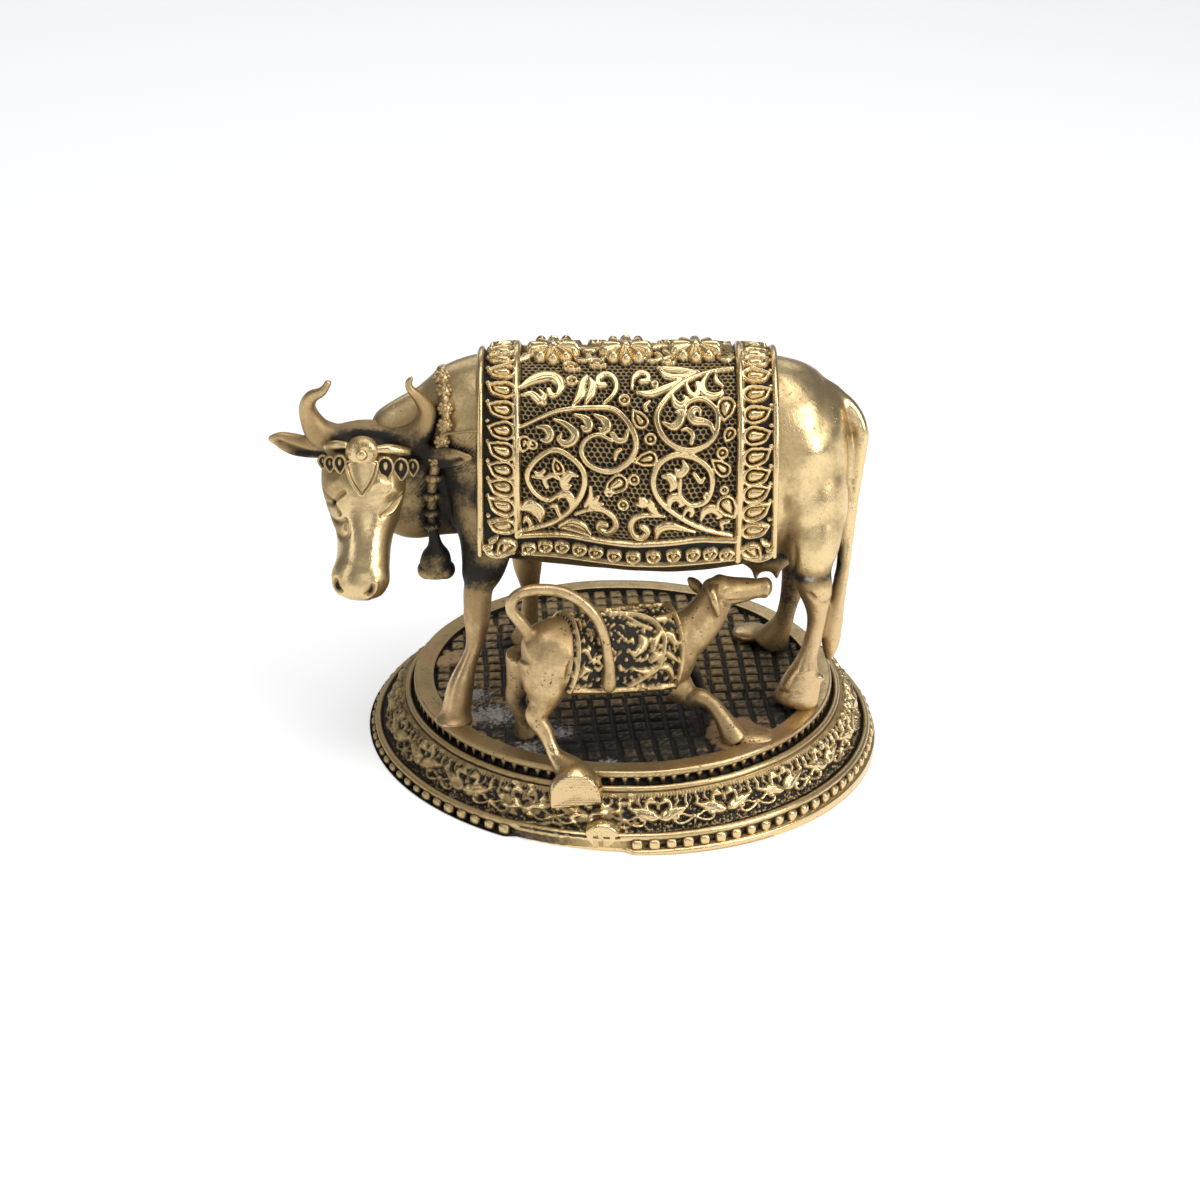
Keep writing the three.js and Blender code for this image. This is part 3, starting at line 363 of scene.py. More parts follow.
class Relief:
    """Heights over a regular grid of places, raised by rounded bands and rimmed bosses"""

    def __init__(self, x, y):
        self.x = x
        self.y = y
        self.height = np.zeros((len(y), len(x)))

    def window(self, points, margin):
        """The grid's rows and columns round some points"""
        low = points.min(0) - margin
        high = points.max(0) + margin
        columns = slice(*np.searchsorted(self.x, (low[0], high[0])))
        rows = slice(*np.searchsorted(self.y, (low[1], high[1])))
        return rows, columns

    def inside(self, points, halves):
        """How far places lie inside a band of varying half width, and that half width"""
        rows, columns = self.window(points, halves.max())
        x, y = np.meshgrid(self.x[columns], self.y[rows])
        depth = np.full(x.shape, -1e3)
        width = np.ones(x.shape)
        for (ax, ay), (bx, by), start, end in zip(points[:-1], points[1:], halves[:-1], halves[1:]):
            run = max((bx - ax) ** 2 + (by - ay) ** 2, 1e-9)
            share = np.clip(((x - ax) * (bx - ax) + (y - ay) * (by - ay)) / run, 0, 1)
            half = start + (end - start) * share
            here = half - np.hypot(x - ax - (bx - ax) * share, y - ay - (by - ay) * share)
            better = here > depth
            depth = np.where(better, here, depth)
            width = np.where(better, half, width)
        return (rows, columns), depth, width

    def lift(self, window, height):
        """The ground is raised to a height where it lies lower"""
        self.height[window] = np.maximum(self.height[window], height)

    def band(self, points, widths, height, groove=0.0):
        """A rounded ridge along points, with a groove along its middle if wanted"""
        points, halves = path_and_halves(points, widths)
        window, depth, width = self.inside(points, halves)
        if depth.size == 0:
            return
        aside = 1 - np.clip(depth / width, 0, 1)
        crest = height * np.sqrt(1 - aside ** 2)
        crest -= groove * np.exp(-(aside / GROOVE_WIDTH) ** 2)
        self.lift(window, np.where(depth > 0, crest, NOWHERE))

    def boss(self, points, widths, rim, height, kernel, gap):
        """A rim round a drop or a disc, with a raised kernel inside"""
        points, halves = path_and_halves(points, widths)
        window, depth, width = self.inside(points, halves)
        if depth.size == 0:
            return
        off = np.abs(depth - rim / 2) / (rim / 2)
        raised = np.where(off < 1, height * np.sqrt(1 - np.minimum(off, 1) ** 2), NOWHERE)
        core = np.maximum(width - rim - gap, 1e-3)
        share = np.clip((depth - rim - gap) / core, 0, 1)
        middle = np.where(depth > rim + gap, kernel * np.sqrt(1 - (1 - share) ** 2), NOWHERE)
        floor = np.where(depth > 0, 0.0, NOWHERE)
        self.lift(window, np.maximum(np.maximum(raised, middle), floor))

    def soft(self, points, widths):
        """The window near a path and how strongly it is felt there, 1 on the path"""
        points, halves = path_and_halves(points, widths)
        window, depth, width = self.inside(points, np.maximum(halves, 1e-3) * SOFT_REACH)
        off = (width - depth) / (width / SOFT_REACH)
        return window, np.where(depth > 0, np.exp(-off ** 2), 0)

    def swell(self, points, widths, height):
        """A soft ridge that fades into the ground"""
        window, share = self.soft(points, widths)
        self.height[window] += height * share

    def cut(self, points, radius, depth):
        """A soft groove"""
        window, share = self.soft(points, (2 * radius, 2 * radius))
        self.height[window] -= depth * share

    def at(self, x, y):
        """Heights between the grid's places, 0 outside it"""
        column = (x - self.x[0]) / (self.x[1] - self.x[0])
        row = (y - self.y[0]) / (self.y[1] - self.y[0])
        inside = (column > 0) & (column < len(self.x) - 1) & (row > 0) & (row < len(self.y) - 1)
        i = np.clip(column.astype(int), 0, len(self.x) - 2)
        j = np.clip(row.astype(int), 0, len(self.y) - 2)
        f, g = column - i, row - j
        low = self.height[j, i] * (1 - f) + self.height[j, i + 1] * f
        high = self.height[j + 1, i] * (1 - f) + self.height[j + 1, i + 1] * f
        return np.where(inside, low * (1 - g) + high * g, 0)


PATH_STEPS = 6


def path_and_halves(points, widths):
    """A smooth path through points, and its half widths, which run evenly through widths"""
    points = np.atleast_2d(np.asarray(points, float))
    if len(points) == 1:
        points = np.repeat(points, 2, 0)
    count = PATH_STEPS * (len(points) - 1) + 1 if len(points) > 2 else len(points)
    t = np.linspace(0, 1, count)
    places = smooth_rows(points, t)
    shares = np.linspace(0, 1, len(widths))
    return places, np.interp(t, shares, widths) / 2


def honeycomb(x, y, pitch, wall):
    """1 inside six-sided cells, 0 on the walls between them"""
    rise = pitch * math.sqrt(3)
    best = np.full(x.shape, 9.0)
    for shift in (0, 0.5):
        across = ((x / pitch + shift) % 1 - 0.5) * pitch
        down = ((y / rise + shift) % 1 - 0.5) * rise
        steep = 0.5 * np.abs(across) + math.sqrt(0.75) * np.abs(down)
        best = np.minimum(best, np.maximum(np.abs(across), steep))
    return 1 - step_between(pitch / 2 - 1.3 * wall, pitch / 2 - 0.3 * wall, best)


WAVES = 5


def waves(x, y, scale, seed=0):
    """Soft uneven swells between about -1 and 1"""
    total = np.zeros_like(x, dtype=float)
    for k in range(WAVES):
        angle = 2.4 * k + seed
        size = scale * (0.6 + 0.23 * k)
        along = (x * math.cos(angle) + y * math.sin(angle)) / size
        total += np.sin(2 * math.pi * along + 1.7 * k * k + seed)
    return total / 3


# Sizes and colours that the sidebar shows

class PlinthSettings(bpy.types.PropertyGroup):
    beads: bpy.props.IntProperty(
        name="Beads", description="Beads round the foot", default=97, min=24)
    dentils: bpy.props.IntProperty(
        name="Dentils", description="Teeth under the platform's lip", default=108, min=24)
    frieze_units: bpy.props.IntProperty(
        name="Bird pairs", description="Pairs of birds round the frieze", default=22, min=6)
    frieze_relief: bpy.props.FloatProperty(
        name="Frieze relief", description="Height of the carved birds",
        default=0.9 * MM, unit="LENGTH", precision=5)
    tile_pitch: bpy.props.FloatProperty(
        name="Tile pitch", description="Distance between two tiles of the platform",
        default=3.37 * MM, unit="LENGTH", precision=5)
    tile_relief: bpy.props.FloatProperty(
        name="Tile relief", description="Height of a tile over the gaps",
        default=0.75 * MM, unit="LENGTH", precision=5)


class FigureSettings(bpy.types.PropertyGroup):
    cow_grain: bpy.props.FloatProperty(
        name="Cow grain", description="Face size of the cow's skin",
        default=0.46 * MM, unit="LENGTH", precision=5)
    head_grain: bpy.props.FloatProperty(
        name="Head grain", description="Face size of the head's skin",
        default=0.22 * MM, unit="LENGTH", precision=5)
    calf_grain: bpy.props.FloatProperty(
        name="Calf grain", description="Face size of the calf's skin",
        default=0.27 * MM, unit="LENGTH", precision=5)


class ClothSettings(bpy.types.PropertyGroup):
    grain: bpy.props.FloatProperty(
        name="Cloth grain", description="Face size of the carved cloth",
        default=0.195 * MM, unit="LENGTH", precision=5)
    lift: bpy.props.FloatProperty(
        name="Cloth lift", description="Height of the cloth's ground over the skin",
        default=0.7 * MM, unit="LENGTH", precision=5)
    pit_pitch: bpy.props.FloatProperty(
        name="Pit pitch", description="Distance between two pits of the ground",
        default=1.05 * MM, unit="LENGTH", precision=5)
    pit_depth: bpy.props.FloatProperty(
        name="Pit depth", description="Depth of the ground's pits",
        default=0.45 * MM, unit="LENGTH", precision=5)


class FinishSettings(bpy.types.PropertyGroup):
    # The polished colour also shows where highlights are painted, and the patina colour where shade is
    # painted
    polish: bpy.props.FloatVectorProperty(
        name="Polished brass", description="Colour of the rubbed crests",
        subtype="COLOR", default=(0.78, 0.59, 0.31))
    body: bpy.props.FloatVectorProperty(
        name="Brass", description="Colour of the brass between crests and hollows",
        subtype="COLOR", default=(0.42, 0.30, 0.14))
    patina: bpy.props.FloatVectorProperty(
        name="Patina", description="Colour of the dark hollows",
        subtype="COLOR", default=(0.018, 0.014, 0.009))
    copper: bpy.props.FloatVectorProperty(
        name="Copper brown", description="Colour of the legs and of the braze",
        subtype="COLOR", default=(0.47, 0.27, 0.14))
    residue: bpy.props.FloatVectorProperty(
        name="Residue", description="Colour of the grey dust left on the platform",
        subtype="COLOR", default=(0.36, 0.34, 0.30))


# Plinth

PLINTH_RADIUS = 50.0
PLATE_THICKNESS = 4
FOOT_DEPTH = 2.49
RIM_COLUMNS = 420
BEAD_RING = (48.6, 1.2)
BEAD_SIZE = (1.0, 1.05, 1.02)
BEAD_ROUNDNESS = 0.62
LOWER_RIDGE = (48.15, 2.4, 0.72)
UPPER_RIDGE = (42.1, 9.0, 0.62)
FRIEZE_FOOT = (47.05, 2.45)
FRIEZE_TOP = (43.1, 8.65)
FRIEZE_MIDDLE = (FRIEZE_FOOT[0] + FRIEZE_TOP[0]) / 2
FRIEZE_RUN = np.array([FRIEZE_TOP[0] - FRIEZE_FOOT[0], FRIEZE_TOP[1] - FRIEZE_FOOT[1]])
FRIEZE_HEIGHT = math.hypot(*FRIEZE_RUN)
FRIEZE_SLOPE = FRIEZE_RUN / FRIEZE_HEIGHT
FRIEZE_COLUMNS = 1300
FRIEZE_ROWS = 32
PLATFORM_EDGE = 40.4
BORDER_INSIDE = 37.0
LIP_DENTIL = (40.75, 10.35)
FOOT_TILT = 0.012


def arc(centre, radius, start, end, count):
    """Points round a centre from one angle to another, in degrees"""
    angles = np.radians(np.linspace(start, end, count))
    return [(centre[0] + radius * math.cos(a), centre[1] + radius * math.sin(a)) for a in angles]


def rim_section():
    """[radius, height] round the rim's section, starting inside the hollow foot"""
    ceiling = PLINTH_HEIGHT - PLATE_THICKNESS
    edge = PLINTH_RADIUS
    return [
        (0, ceiling), (37.9, ceiling), (42.0, 3.0), (45.0, -FOOT_DEPTH),
        (49.6, -FOOT_DEPTH), (edge, -FOOT_DEPTH + 0.4), (edge, -1.0), (edge, 0.1), (49.85, 0.32),
        (49.2, 0.4), (48.4, 0.5), (48.2, 1.2), (48.3, 1.7),
        *arc(LOWER_RIDGE[:2], LOWER_RIDGE[2], -50, 150, 9),
        (47.1, 2.3), (46.5, 2.6), (42.9, 8.3), (42.5, 8.5),
        *arc(UPPER_RIDGE[:2], UPPER_RIDGE[2], -50, 165, 10),
        (41.3, 8.75), (40.5, 8.8), (40.0, 9.3), (40.1, 10.2), (40.75, 10.6), (41.0, 10.75),
        (41.0, 11.2), *arc((40.45, 11.35), 0.5, 0, 90, 6),
        (39.2, 11.86), (38.3, 11.84), (37.6, 11.86),
        *arc((37.35, 11.5), 0.36, 90, 180, 4),
        (36.9, 10.6), (36.0, 10.0), (0, 10.0),
    ]


def worn_foot(points):
    """The foot lies a little askew under the platform, and is filed away below the underside"""
    low = np.clip((8.5 - points[:, 2]) / 7.2, 0, 1)
    points[:, 2] -= FOOT_TILT * points[:, 0] * low
    level = -FOOT_LIFT - UNDERSIDE_SLOPE * points[:, 0]
    points[:, 2] = np.maximum(points[:, 2], level)
    return points


def radius_of(points):
    """Distances from the plinth's axis"""
    return np.hypot(points[:, 0], points[:, 1])


def keep_within(points, radius):
    """Points outside a radius move onto it"""
    points[:, :2] *= np.minimum(1, radius / radius_of(points))[:, None]
    return points


def turn_points(radius, height, angle):
    return np.stack([radius * np.cos(angle), radius * np.sin(angle), height], 1)


# The front of the rim is filed flat, and a smear of braze, [middle, reach], lies on it
FILED_FRONT = math.radians(-102)
FILED_WIDTH = math.radians(14.5)
FILED_FACE = 48.9
FILED_TOP = 2.9
FILED_INSIDE = 46.9
FILED_SMEAR = ((-4.0, -47.0, 2.5), (3.5, 3.2, 2.9))


def filed_share(points):
    """1 on the filed front of the rim"""
    angle = np.abs(np.arctan2(points[:, 1], points[:, 0]) - FILED_FRONT)
    inside = 1 - step_between(0.8 * FILED_WIDTH, FILED_WIDTH, angle)
    return inside * (points[:, 2] < FILED_TOP) * (radius_of(points) > FILED_INSIDE)


def front_file(points):
    """Flange and ridge are filed to one upright face at the front"""
    angle = np.arctan2(points[:, 1], points[:, 0])
    radius = radius_of(points)
    strokes = 0.05 * np.sin(angle * 700) + 0.06 * np.sin(angle * 263 + 1)
    filed = radius + (FILED_FACE + strokes - radius) * filed_share(points)
    points[:, :2] *= (filed / np.maximum(radius, 1e-6))[:, None]
    return points


def plinth_rim():
    section = np.array(rim_section())
    rows = len(section) - 1

    def place(u, v):
        k = np.rint(v * rows).astype(int)
        angle = 2 * math.pi * u
        points = turn_points(section[k, 0], section[k, 1], angle)
        wobble = 0.04 * np.sin(angle * 7 + 1) + 0.03 * np.sin(angle * 19)
        points[:, 2] += np.where((k > 12) & (k < rows - 1), wobble, 0)
        return worn_foot(front_file(points))

    rim = grid("plinth_rim", RIM_COLUMNS, rows, place)
    clean(rim)
    smear = ball(*FILED_SMEAR, "smear", 32, 24)
    set_points(smear, keep_within(points_of(smear), FILED_FACE))
    return joined("plinth_rim", [rim, smear])


# Half of a pair of birds and half of the knot beside it, as [aside, up] in millimetres from the
# pair's middle and the frieze's foot: a band's widths, its height and its path
BIRD = [
    ((1.6, 2.6, 2.5, 1.7, 0.9), 1.0, [(0.75, 2.7), (1.4, 3.0), (2.6, 3.6), (3.9, 3.9), (4.9, 4.1)]),
    ((1.1, 0.85, 0.75, 0.75, 0.8), 0.95, [(1.7, 3.6), (2.35, 4.6), (2.25, 5.6), (1.55, 6.2), (1.0, 5.9)]),
    ((1.8, 0.8), 1.05, [(1.35, 5.9), (0.75, 5.5)]),
    ((0.85, 0.65, 0.55, 0.4), 0.75, [(4.6, 4.1), (5.6, 4.6), (5.35, 5.5), (5.6, 6.5)]),
    ((0.8, 0.45), 1.2, [(2.0, 3.8), (3.5, 4.3)]),
    ((0.5, 0.4), 0.6, [(2.9, 3.0), (2.6, 2.0)]),
    ((0.35, 0.7, 0.3), 0.5, [(3.2, 4.9), (3.9, 5.6), (3.7, 6.4)]),
    ((0.5, 0.9, 0.4), 0.45, [(0.2, 4.4), (0.0, 5.1), (0.2, 5.6)]),
]
KNOT = [
    ((0.5, 0.5), 0.8, [(6.4, 2.4), (5.3, 1.7), (3.9, 1.25), (2.9, 1.6), (2.7, 2.4), (3.3, 2.75)]),
    ((0.45, 0.45), 0.75, [(6.4, 2.4), (5.3, 2.55), (4.3, 3.05), (3.2, 2.75)]),
    ((0.95, 0.95), 0.95, [(3.15, 2.5), (3.2, 2.5)]),
    ((0.5, 0.4), 0.6, [(6.4, 2.4), (6.4, 1.2)]),
    ((1.0, 1.0), 1.0, [(6.4, 2.4), (6.42, 2.4)]),
]
BIRD_PITCH = 12.9
HALF_PITCH = 6.4
COMB_PITCH = 0.62
COMB_TOP = 6.6


def frieze_relief(settings):
    """The birds and knots over the slope, unrolled along the slope's middle line"""
    length = 2 * math.pi * FRIEZE_MIDDLE
    x = np.linspace(0, length, FRIEZE_COLUMNS + 1)
    y = np.linspace(0, FRIEZE_HEIGHT, FRIEZE_ROWS + 1)
    relief = Relief(x, y)
    across, up = np.meshgrid(x, y)
    crumbs = waves(across, up, 1.1, 5) * waves(up, across, 1.0, 2)
    relief.height += 0.9 * np.clip(crumbs + 0.15, 0, 0.6) - 0.3
    pitch = length / settings.frieze_units
    stretch = pitch / BIRD_PITCH
    random = np.random.default_rng(4)
    for unit in range(-1, settings.frieze_units + 1):
        middle = pitch * unit
        shade = random.normal(1, 0.07, (2, len(BIRD)))
        shift = random.normal(0, 0.08, (2, 2))
        for hand, growth, move in zip((-1, 1), shade, shift):
            for (widths, height, path), size in zip(BIRD, growth):
                places = [(middle + hand * stretch * a + move[0], b + move[1]) for a, b in path]
                relief.band(places, [width * size for width in widths], height)
            for widths, height, path in KNOT:
                places = [(middle + pitch / 2 + hand * stretch * (a - HALF_PITCH), b) for a, b in path]
                relief.band(places, widths, height)
    teeth = np.abs((across / COMB_PITCH) % 1 - 0.5) * 2
    comb = np.where(up > COMB_TOP - 0.25 * teeth, 0.35 * teeth, NOWHERE)
    relief.height = np.maximum(relief.height, comb)
    return relief


# Angles round the frieze, in degrees, between which it is worn, and how much relief is left
WORN = [((-180, -125), 0.7), ((-122, -86), 0.5), ((96, 180), 0.8)]
WORN_BLEND = 4


def wear_at(angle):
    """The share of the frieze's relief that is left at each angle"""
    left = np.ones_like(angle)
    turned = (np.degrees(angle) + 180) % 360 - 180
    for (start, end), kept in WORN:
        after = step_between(start - WORN_BLEND, start + WORN_BLEND, turned)
        before = 1 - step_between(end - WORN_BLEND, end + WORN_BLEND, turned)
        left -= (1 - kept) * (after * before)
    return left


def plinth_frieze(settings):
    relief = frieze_relief(settings).height
    slope = FRIEZE_SLOPE
    out = (slope[1], -slope[0])
    scale = settings.frieze_relief / MM / 0.9

    def place(u, v):
        column = np.rint(u * FRIEZE_COLUMNS).astype(int)
        row = np.rint(v * (FRIEZE_ROWS + 2)).astype(int) - 1
        angle = 2 * math.pi * u
        buried = (row < 0) | (row > FRIEZE_ROWS)
        row = np.clip(row, 0, FRIEZE_ROWS)
        left = wear_at(angle)
        lumps = 1.3 * (1 - left) * np.clip(waves(angle * 45, row * 0.24, 2.6, 8) + 0.1, 0, 1)
        lift = relief[row, column] * left * scale + lumps - 0.1
        lift = np.where(buried, -1.2, lift)
        distance = FRIEZE_HEIGHT * row / FRIEZE_ROWS
        radius = FRIEZE_FOOT[0] + slope[0] * distance + out[0] * lift
        height = FRIEZE_FOOT[1] + slope[1] * distance + out[1] * lift
        return turn_points(radius, height, angle)

    frieze = grid("frieze", FRIEZE_COLUMNS, FRIEZE_ROWS + 2, place)
    clean(frieze)
    return frieze


def copies(name, piece, places):
    """One object that repeats the piece at every place"""
    made = [piece]
    for place in places[1:]:
        twin = piece.copy()
        twin.data = piece.data.copy()
        bpy.context.collection.objects.link(twin)
        twin.data.transform(place)
        made.append(twin)
    piece.data.transform(places[0])
    return joined(name, made)


def bead_ring(settings):
    random = np.random.default_rng(9)
    places = []
    for k in range(settings.beads):
        angle = 2 * math.pi * (k / settings.beads - 0.5)
        turn = Matrix.Rotation(angle, 4, "Z")
        size = random.normal(1, 0.05)
        if abs(angle - FILED_FRONT) < FILED_WIDTH:
            continue
        move = Matrix.Translation((BEAD_RING[0], 0, BEAD_RING[1]))
        places.append(turn @ move @ Matrix.Scale(size, 4))
    bead = ball((0, 0, 0), (1, 1, 1), "bead", 16, 12)
    shape = points_of(bead)
    set_points(bead, np.sign(shape) * np.abs(shape) ** BEAD_ROUNDNESS * BEAD_SIZE)
    beads = copies("bead_ring", bead, places)
    set_points(beads, worn_foot(keep_within(points_of(beads), PLINTH_RADIUS - 0.05)))
    return beads


DENTIL = [
    (-0.3, 0, 0.45, 0.72, 0.5), (-0.25, 0, 0.2, 0.7, 0.5), (-0.2, 0, -0.6, 0.4, 0.42),
    (-0.2, 0, -1.35, 0.12, 0.3),
]


def dentil_ring(settings):
    random = np.random.default_rng(12)
    places = []
    for k in range(settings.dentils):
        turn = Matrix.Rotation(2 * math.pi * (k + random.normal(0, 0.05)) / settings.dentils, 4, "Z")
        places.append(turn @ Matrix.Translation((LIP_DENTIL[0], 0, LIP_DENTIL[1])))
    return copies("dentil_ring", limb(DENTIL, LEVEL, 10, 3), places)


# Platform: domed tiles in rows, turned a little against the cow's walk. The lines that draw a
# tile lie at shares of its width, and each has its share of the dome's height.
TILE_TURN = math.radians(5.5)
TILE_LINES = (-0.5, -0.40, -0.34, -0.26, 0.0, 0.26, 0.34, 0.40)
TILE_DOME = (0.0, 0.15, 0.7, 0.93, 1.0, 0.93, 0.7, 0.15)
TILES_ACROSS = 25
TILE_GAP_DEPTH = 0.9
TILES_SUNK = 2.0
TILE_HEIGHT_SPREAD = 0.12
ROW_SLIDE_SPREAD = 0.09


def tile_shares(index):
    """Where each line of the grid lies, counted in tiles, its dome's share and its tile"""
    line = index % len(TILE_LINES)
    cell = index // len(TILE_LINES)
    return cell + np.array(TILE_LINES)[line], np.array(TILE_DOME)[line], cell


# Grey crust on the platform, [place, reach], and on the rim, [place, reach, amount]
CRUST = [
    ((-25.0, -17.0), 8.0), ((-28.5, -9.0), 5.0), ((-18.0, -30.5), 6.0), ((-3.0, -36.0), 3.5),
    ((-12.0, -24.0), 5.0),
]
RIM_CRUST = [
    ((-16.4, -40.4, 10.5), (2.0, 1.2, 1.0), 0.9), ((0.3, -41.5, 9.8), (2.2, 1.2, 1.0), 0.9),
    ((-32.0, -33.6, 3.0), (1.4, 1.4, 0.8), 0.9),
]

# Places on the platform where braze covers the tiles, [place, reach, rise]
BRAZED = [
    ((21.0, -25.0), (5.5, 6.8), 0.9), ((26.5, -27.0), (8.5, 4.2), 0.6),
    ((-35.8, 6.0), (4.4, 3.6), 0.0), ((-32.5, -19.5), (5.0, 4.0), 0.3),
]


def brazed_at(x, y):
    """The share of braze at each place and how high it lies over the tiles"""
    share = np.zeros_like(x)
    height = np.zeros_like(x)
    for (middle_x, middle_y), (reach_x, reach_y), rise in BRAZED:
        distance = np.hypot((x - middle_x) / reach_x, (y - middle_y) / reach_y)
        share = np.maximum(share, 1 - step_between(0.85, 1.12, distance + 0.06 * waves(x, y, 2.7, 6)))
        height = np.maximum(height, rise * (1 - np.minimum(distance, 1)))
    return share, height


def crust_at(x, y):
    """How thickly grey crust lies at each place, up to 1"""
    share = np.zeros_like(x)
    for (middle_x, middle_y), reach in CRUST:
        near = np.exp(-((x - middle_x) ** 2 + (y - middle_y) ** 2) / reach ** 2)
        share = np.maximum(share, near)
    return share


def platform_tiles(settings):
    pitch = settings.tile_pitch / MM
    lines = len(TILE_LINES) * TILES_ACROSS
    random = np.random.default_rng(21)
    heights = random.normal(1, TILE_HEIGHT_SPREAD, (TILES_ACROSS + 1, TILES_ACROSS + 1))
    slides = random.normal(0, ROW_SLIDE_SPREAD, TILES_ACROSS + 1)

    def place(u, v):
        across, dome_across, column = tile_shares(np.rint(u * lines).astype(int))
        along, dome_along, row = tile_shares(np.rint(v * lines).astype(int))
        x = (across - TILES_ACROSS / 2 + slides[row] * 0.6) * pitch
        y = (along - TILES_ACROSS / 2) * pitch
        bend = 0.5 * np.sin(y / 13)
        x, y = x + bend, y + 0.4 * np.sin(x / 11)
        dome = np.minimum(dome_across, 0.45 + 0.55 * dome_along) * (0.55 + 0.45 * dome_along)
        dome = dome * np.clip(heights[column, row], 0.7, 1.15)
        cosine, sine = math.cos(TILE_TURN), math.sin(TILE_TURN)
        x, y = x * cosine - y * sine, x * sine + y * cosine
        crust = crust_at(x, y)
        dome = dome + crust * (0.6 + 0.35 * waves(x, y, 1.1, 3) - dome)
        brazed, rise = brazed_at(x, y)
        dome = dome + brazed * (1.1 + rise - dome)
        return np.stack([x, y, PLINTH_HEIGHT - TILE_GAP_DEPTH + settings.tile_relief / MM * dome], 1)

    tiles = grid("platform_tiles", lines, lines, place)
    delete_vertices(tiles, radius_of(points_of(tiles)) > BORDER_INSIDE + 0.3)
    close_edge(tiles, (0, 0, -TILES_SUNK))
    return tiles


def delete_vertices(piece, chosen):
    select_only(piece)
    bpy.ops.object.mode_set(mode="EDIT")
    bpy.ops.mesh.select_mode(type="VERT")
    bpy.ops.mesh.select_all(action="DESELECT")
    bpy.ops.object.mode_set(mode="OBJECT")
    piece.data.vertices.foreach_set("select", chosen)
    bpy.ops.object.mode_set(mode="EDIT")
    bpy.ops.mesh.delete(type="VERT")
    bpy.ops.object.mode_set(mode="OBJECT")


def close_edge(piece, move=(0, 0, 0)):
    """The open edge is drawn out by `move` and closed with one face"""
    select_only(piece)
    bpy.ops.object.mode_set(mode="EDIT")
    bpy.ops.mesh.select_mode(type="EDGE")
    bpy.ops.mesh.select_all(action="DESELECT")
    bpy.ops.mesh.select_non_manifold()
    if any(move):
        bpy.ops.mesh.extrude_region_move(TRANSFORM_OT_translate={"value": move})
    bpy.ops.mesh.edge_face_add()
    bpy.ops.mesh.select_mode(type="VERT")
    bpy.ops.mesh.select_all(action="SELECT")
    bpy.ops.mesh.normals_make_consistent(inside=False)
    bpy.ops.object.mode_set(mode="OBJECT")


# Cow. Stations are [x, y, z, across, deep], half sizes in millimetres over the platform.
TRUNK = [
    (-37.2, -3.0, 42.5, 2.5, 7.0), (-35.8, -2.7, 44.0, 6.6, 12.8), (-32.0, -2.1, 46.0, 10.6, 17.6),
    (-27.0, -1.5, 47.0, 13.2, 20.0), (-18.0, -1.0, 46.5, 15.4, 20.8), (-5.0, -1.0, 45.9, 17.0, 21.4),
    (8.0, -1.0, 45.5, 17.3, 21.8), (20.0, -1.0, 46.1, 16.3, 20.9), (28.0, -1.1, 46.8, 14.8, 19.2),
    (34.0, -1.3, 46.2, 12.8, 16.0), (38.4, -1.5, 45.6, 9.4, 11.8), (40.9, -1.6, 45.4, 4.8, 6.4),
    (41.5, -1.6, 45.4, 1.0, 1.5),
]
NECK = [
    (-29.0, -1.6, 47.5, 8.5, 17.0), (-35.0, -2.6, 46.6, 7.4, 15.6), (-40.0, -4.0, 45.4, 6.5, 14.4),
    (-44.5, -5.8, 43.9, 5.8, 12.8), (-48.5, -7.6, 43.0, 5.2, 9.0),
]
HEAD = [
    (-49.9, -6.8, 53.4, 3.0, 2.0), (-49.9, -7.1, 52.4, 5.8, 4.4), (-50.0, -7.9, 50.0, 7.4, 6.4),
    (-50.0, -9.6, 45.0, 8.0, 7.2), (-49.9, -11.8, 40.0, 6.8, 6.3), (-49.9, -14.6, 35.8, 5.2, 5.2),
    (-50.1, -17.4, 32.2, 5.0, 4.6), (-50.5, -19.4, 29.8, 5.5, 4.3), (-50.8, -21.0, 27.4, 4.3, 3.2),
    (-50.9, -21.7, 26.2, 1.8, 1.4),
]
HORNS = [
    [(-51.5, -8.0, 53.6, 2.0), (-55.0, -8.4, 53.3, 2.7), (-57.9, -8.9, 54.7, 2.7),
     (-59.4, -9.3, 57.4, 2.1), (-59.9, -10.0, 60.3, 1.6), (-58.9, -11.0, 62.6, 1.3),
     (-56.9, -12.0, 64.0, 0.95), (-55.9, -12.0, 65.3, 0.72), (-55.6, -12.0, 66.0, 0.78),
     (-55.5, -12.0, 66.4, 0.3)],
    [(-47.8, -8.0, 53.6, 2.0), (-43.8, -8.3, 52.9, 2.6), (-40.4, -8.7, 53.6, 2.8), (-38.3, -9.1, 56.4, 2.3),
     (-37.9, -9.9, 59.4, 1.75), (-38.9, -10.9, 62.0, 1.3), (-40.4, -12.0, 64.2, 0.9),
     (-41.1, -12.0, 65.5, 0.7), (-40.4, -12.0, 66.6, 0.6), (-39.9, -12.0, 66.7, 0.3)],
]
EARS = [
    [(-55.0, -8.6, 50.6, 1.3, 1.0), (-59.0, -8.4, 51.2, 2.0, 1.2), (-62.6, -8.0, 51.8, 2.3, 1.2),
     (-65.6, -8.0, 52.8, 1.7, 1.0), (-67.8, -8.0, 53.1, 0.5, 0.4)],
    [(-44.0, -8.8, 50.4, 1.3, 1.0), (-39.6, -10.0, 50.6, 1.8, 1.2), (-35.6, -12.0, 51.0, 2.3, 1.2),
     (-32.1, -14.0, 51.7, 1.7, 1.0), (-29.4, -15.0, 52.2, 0.5, 0.4)],
]
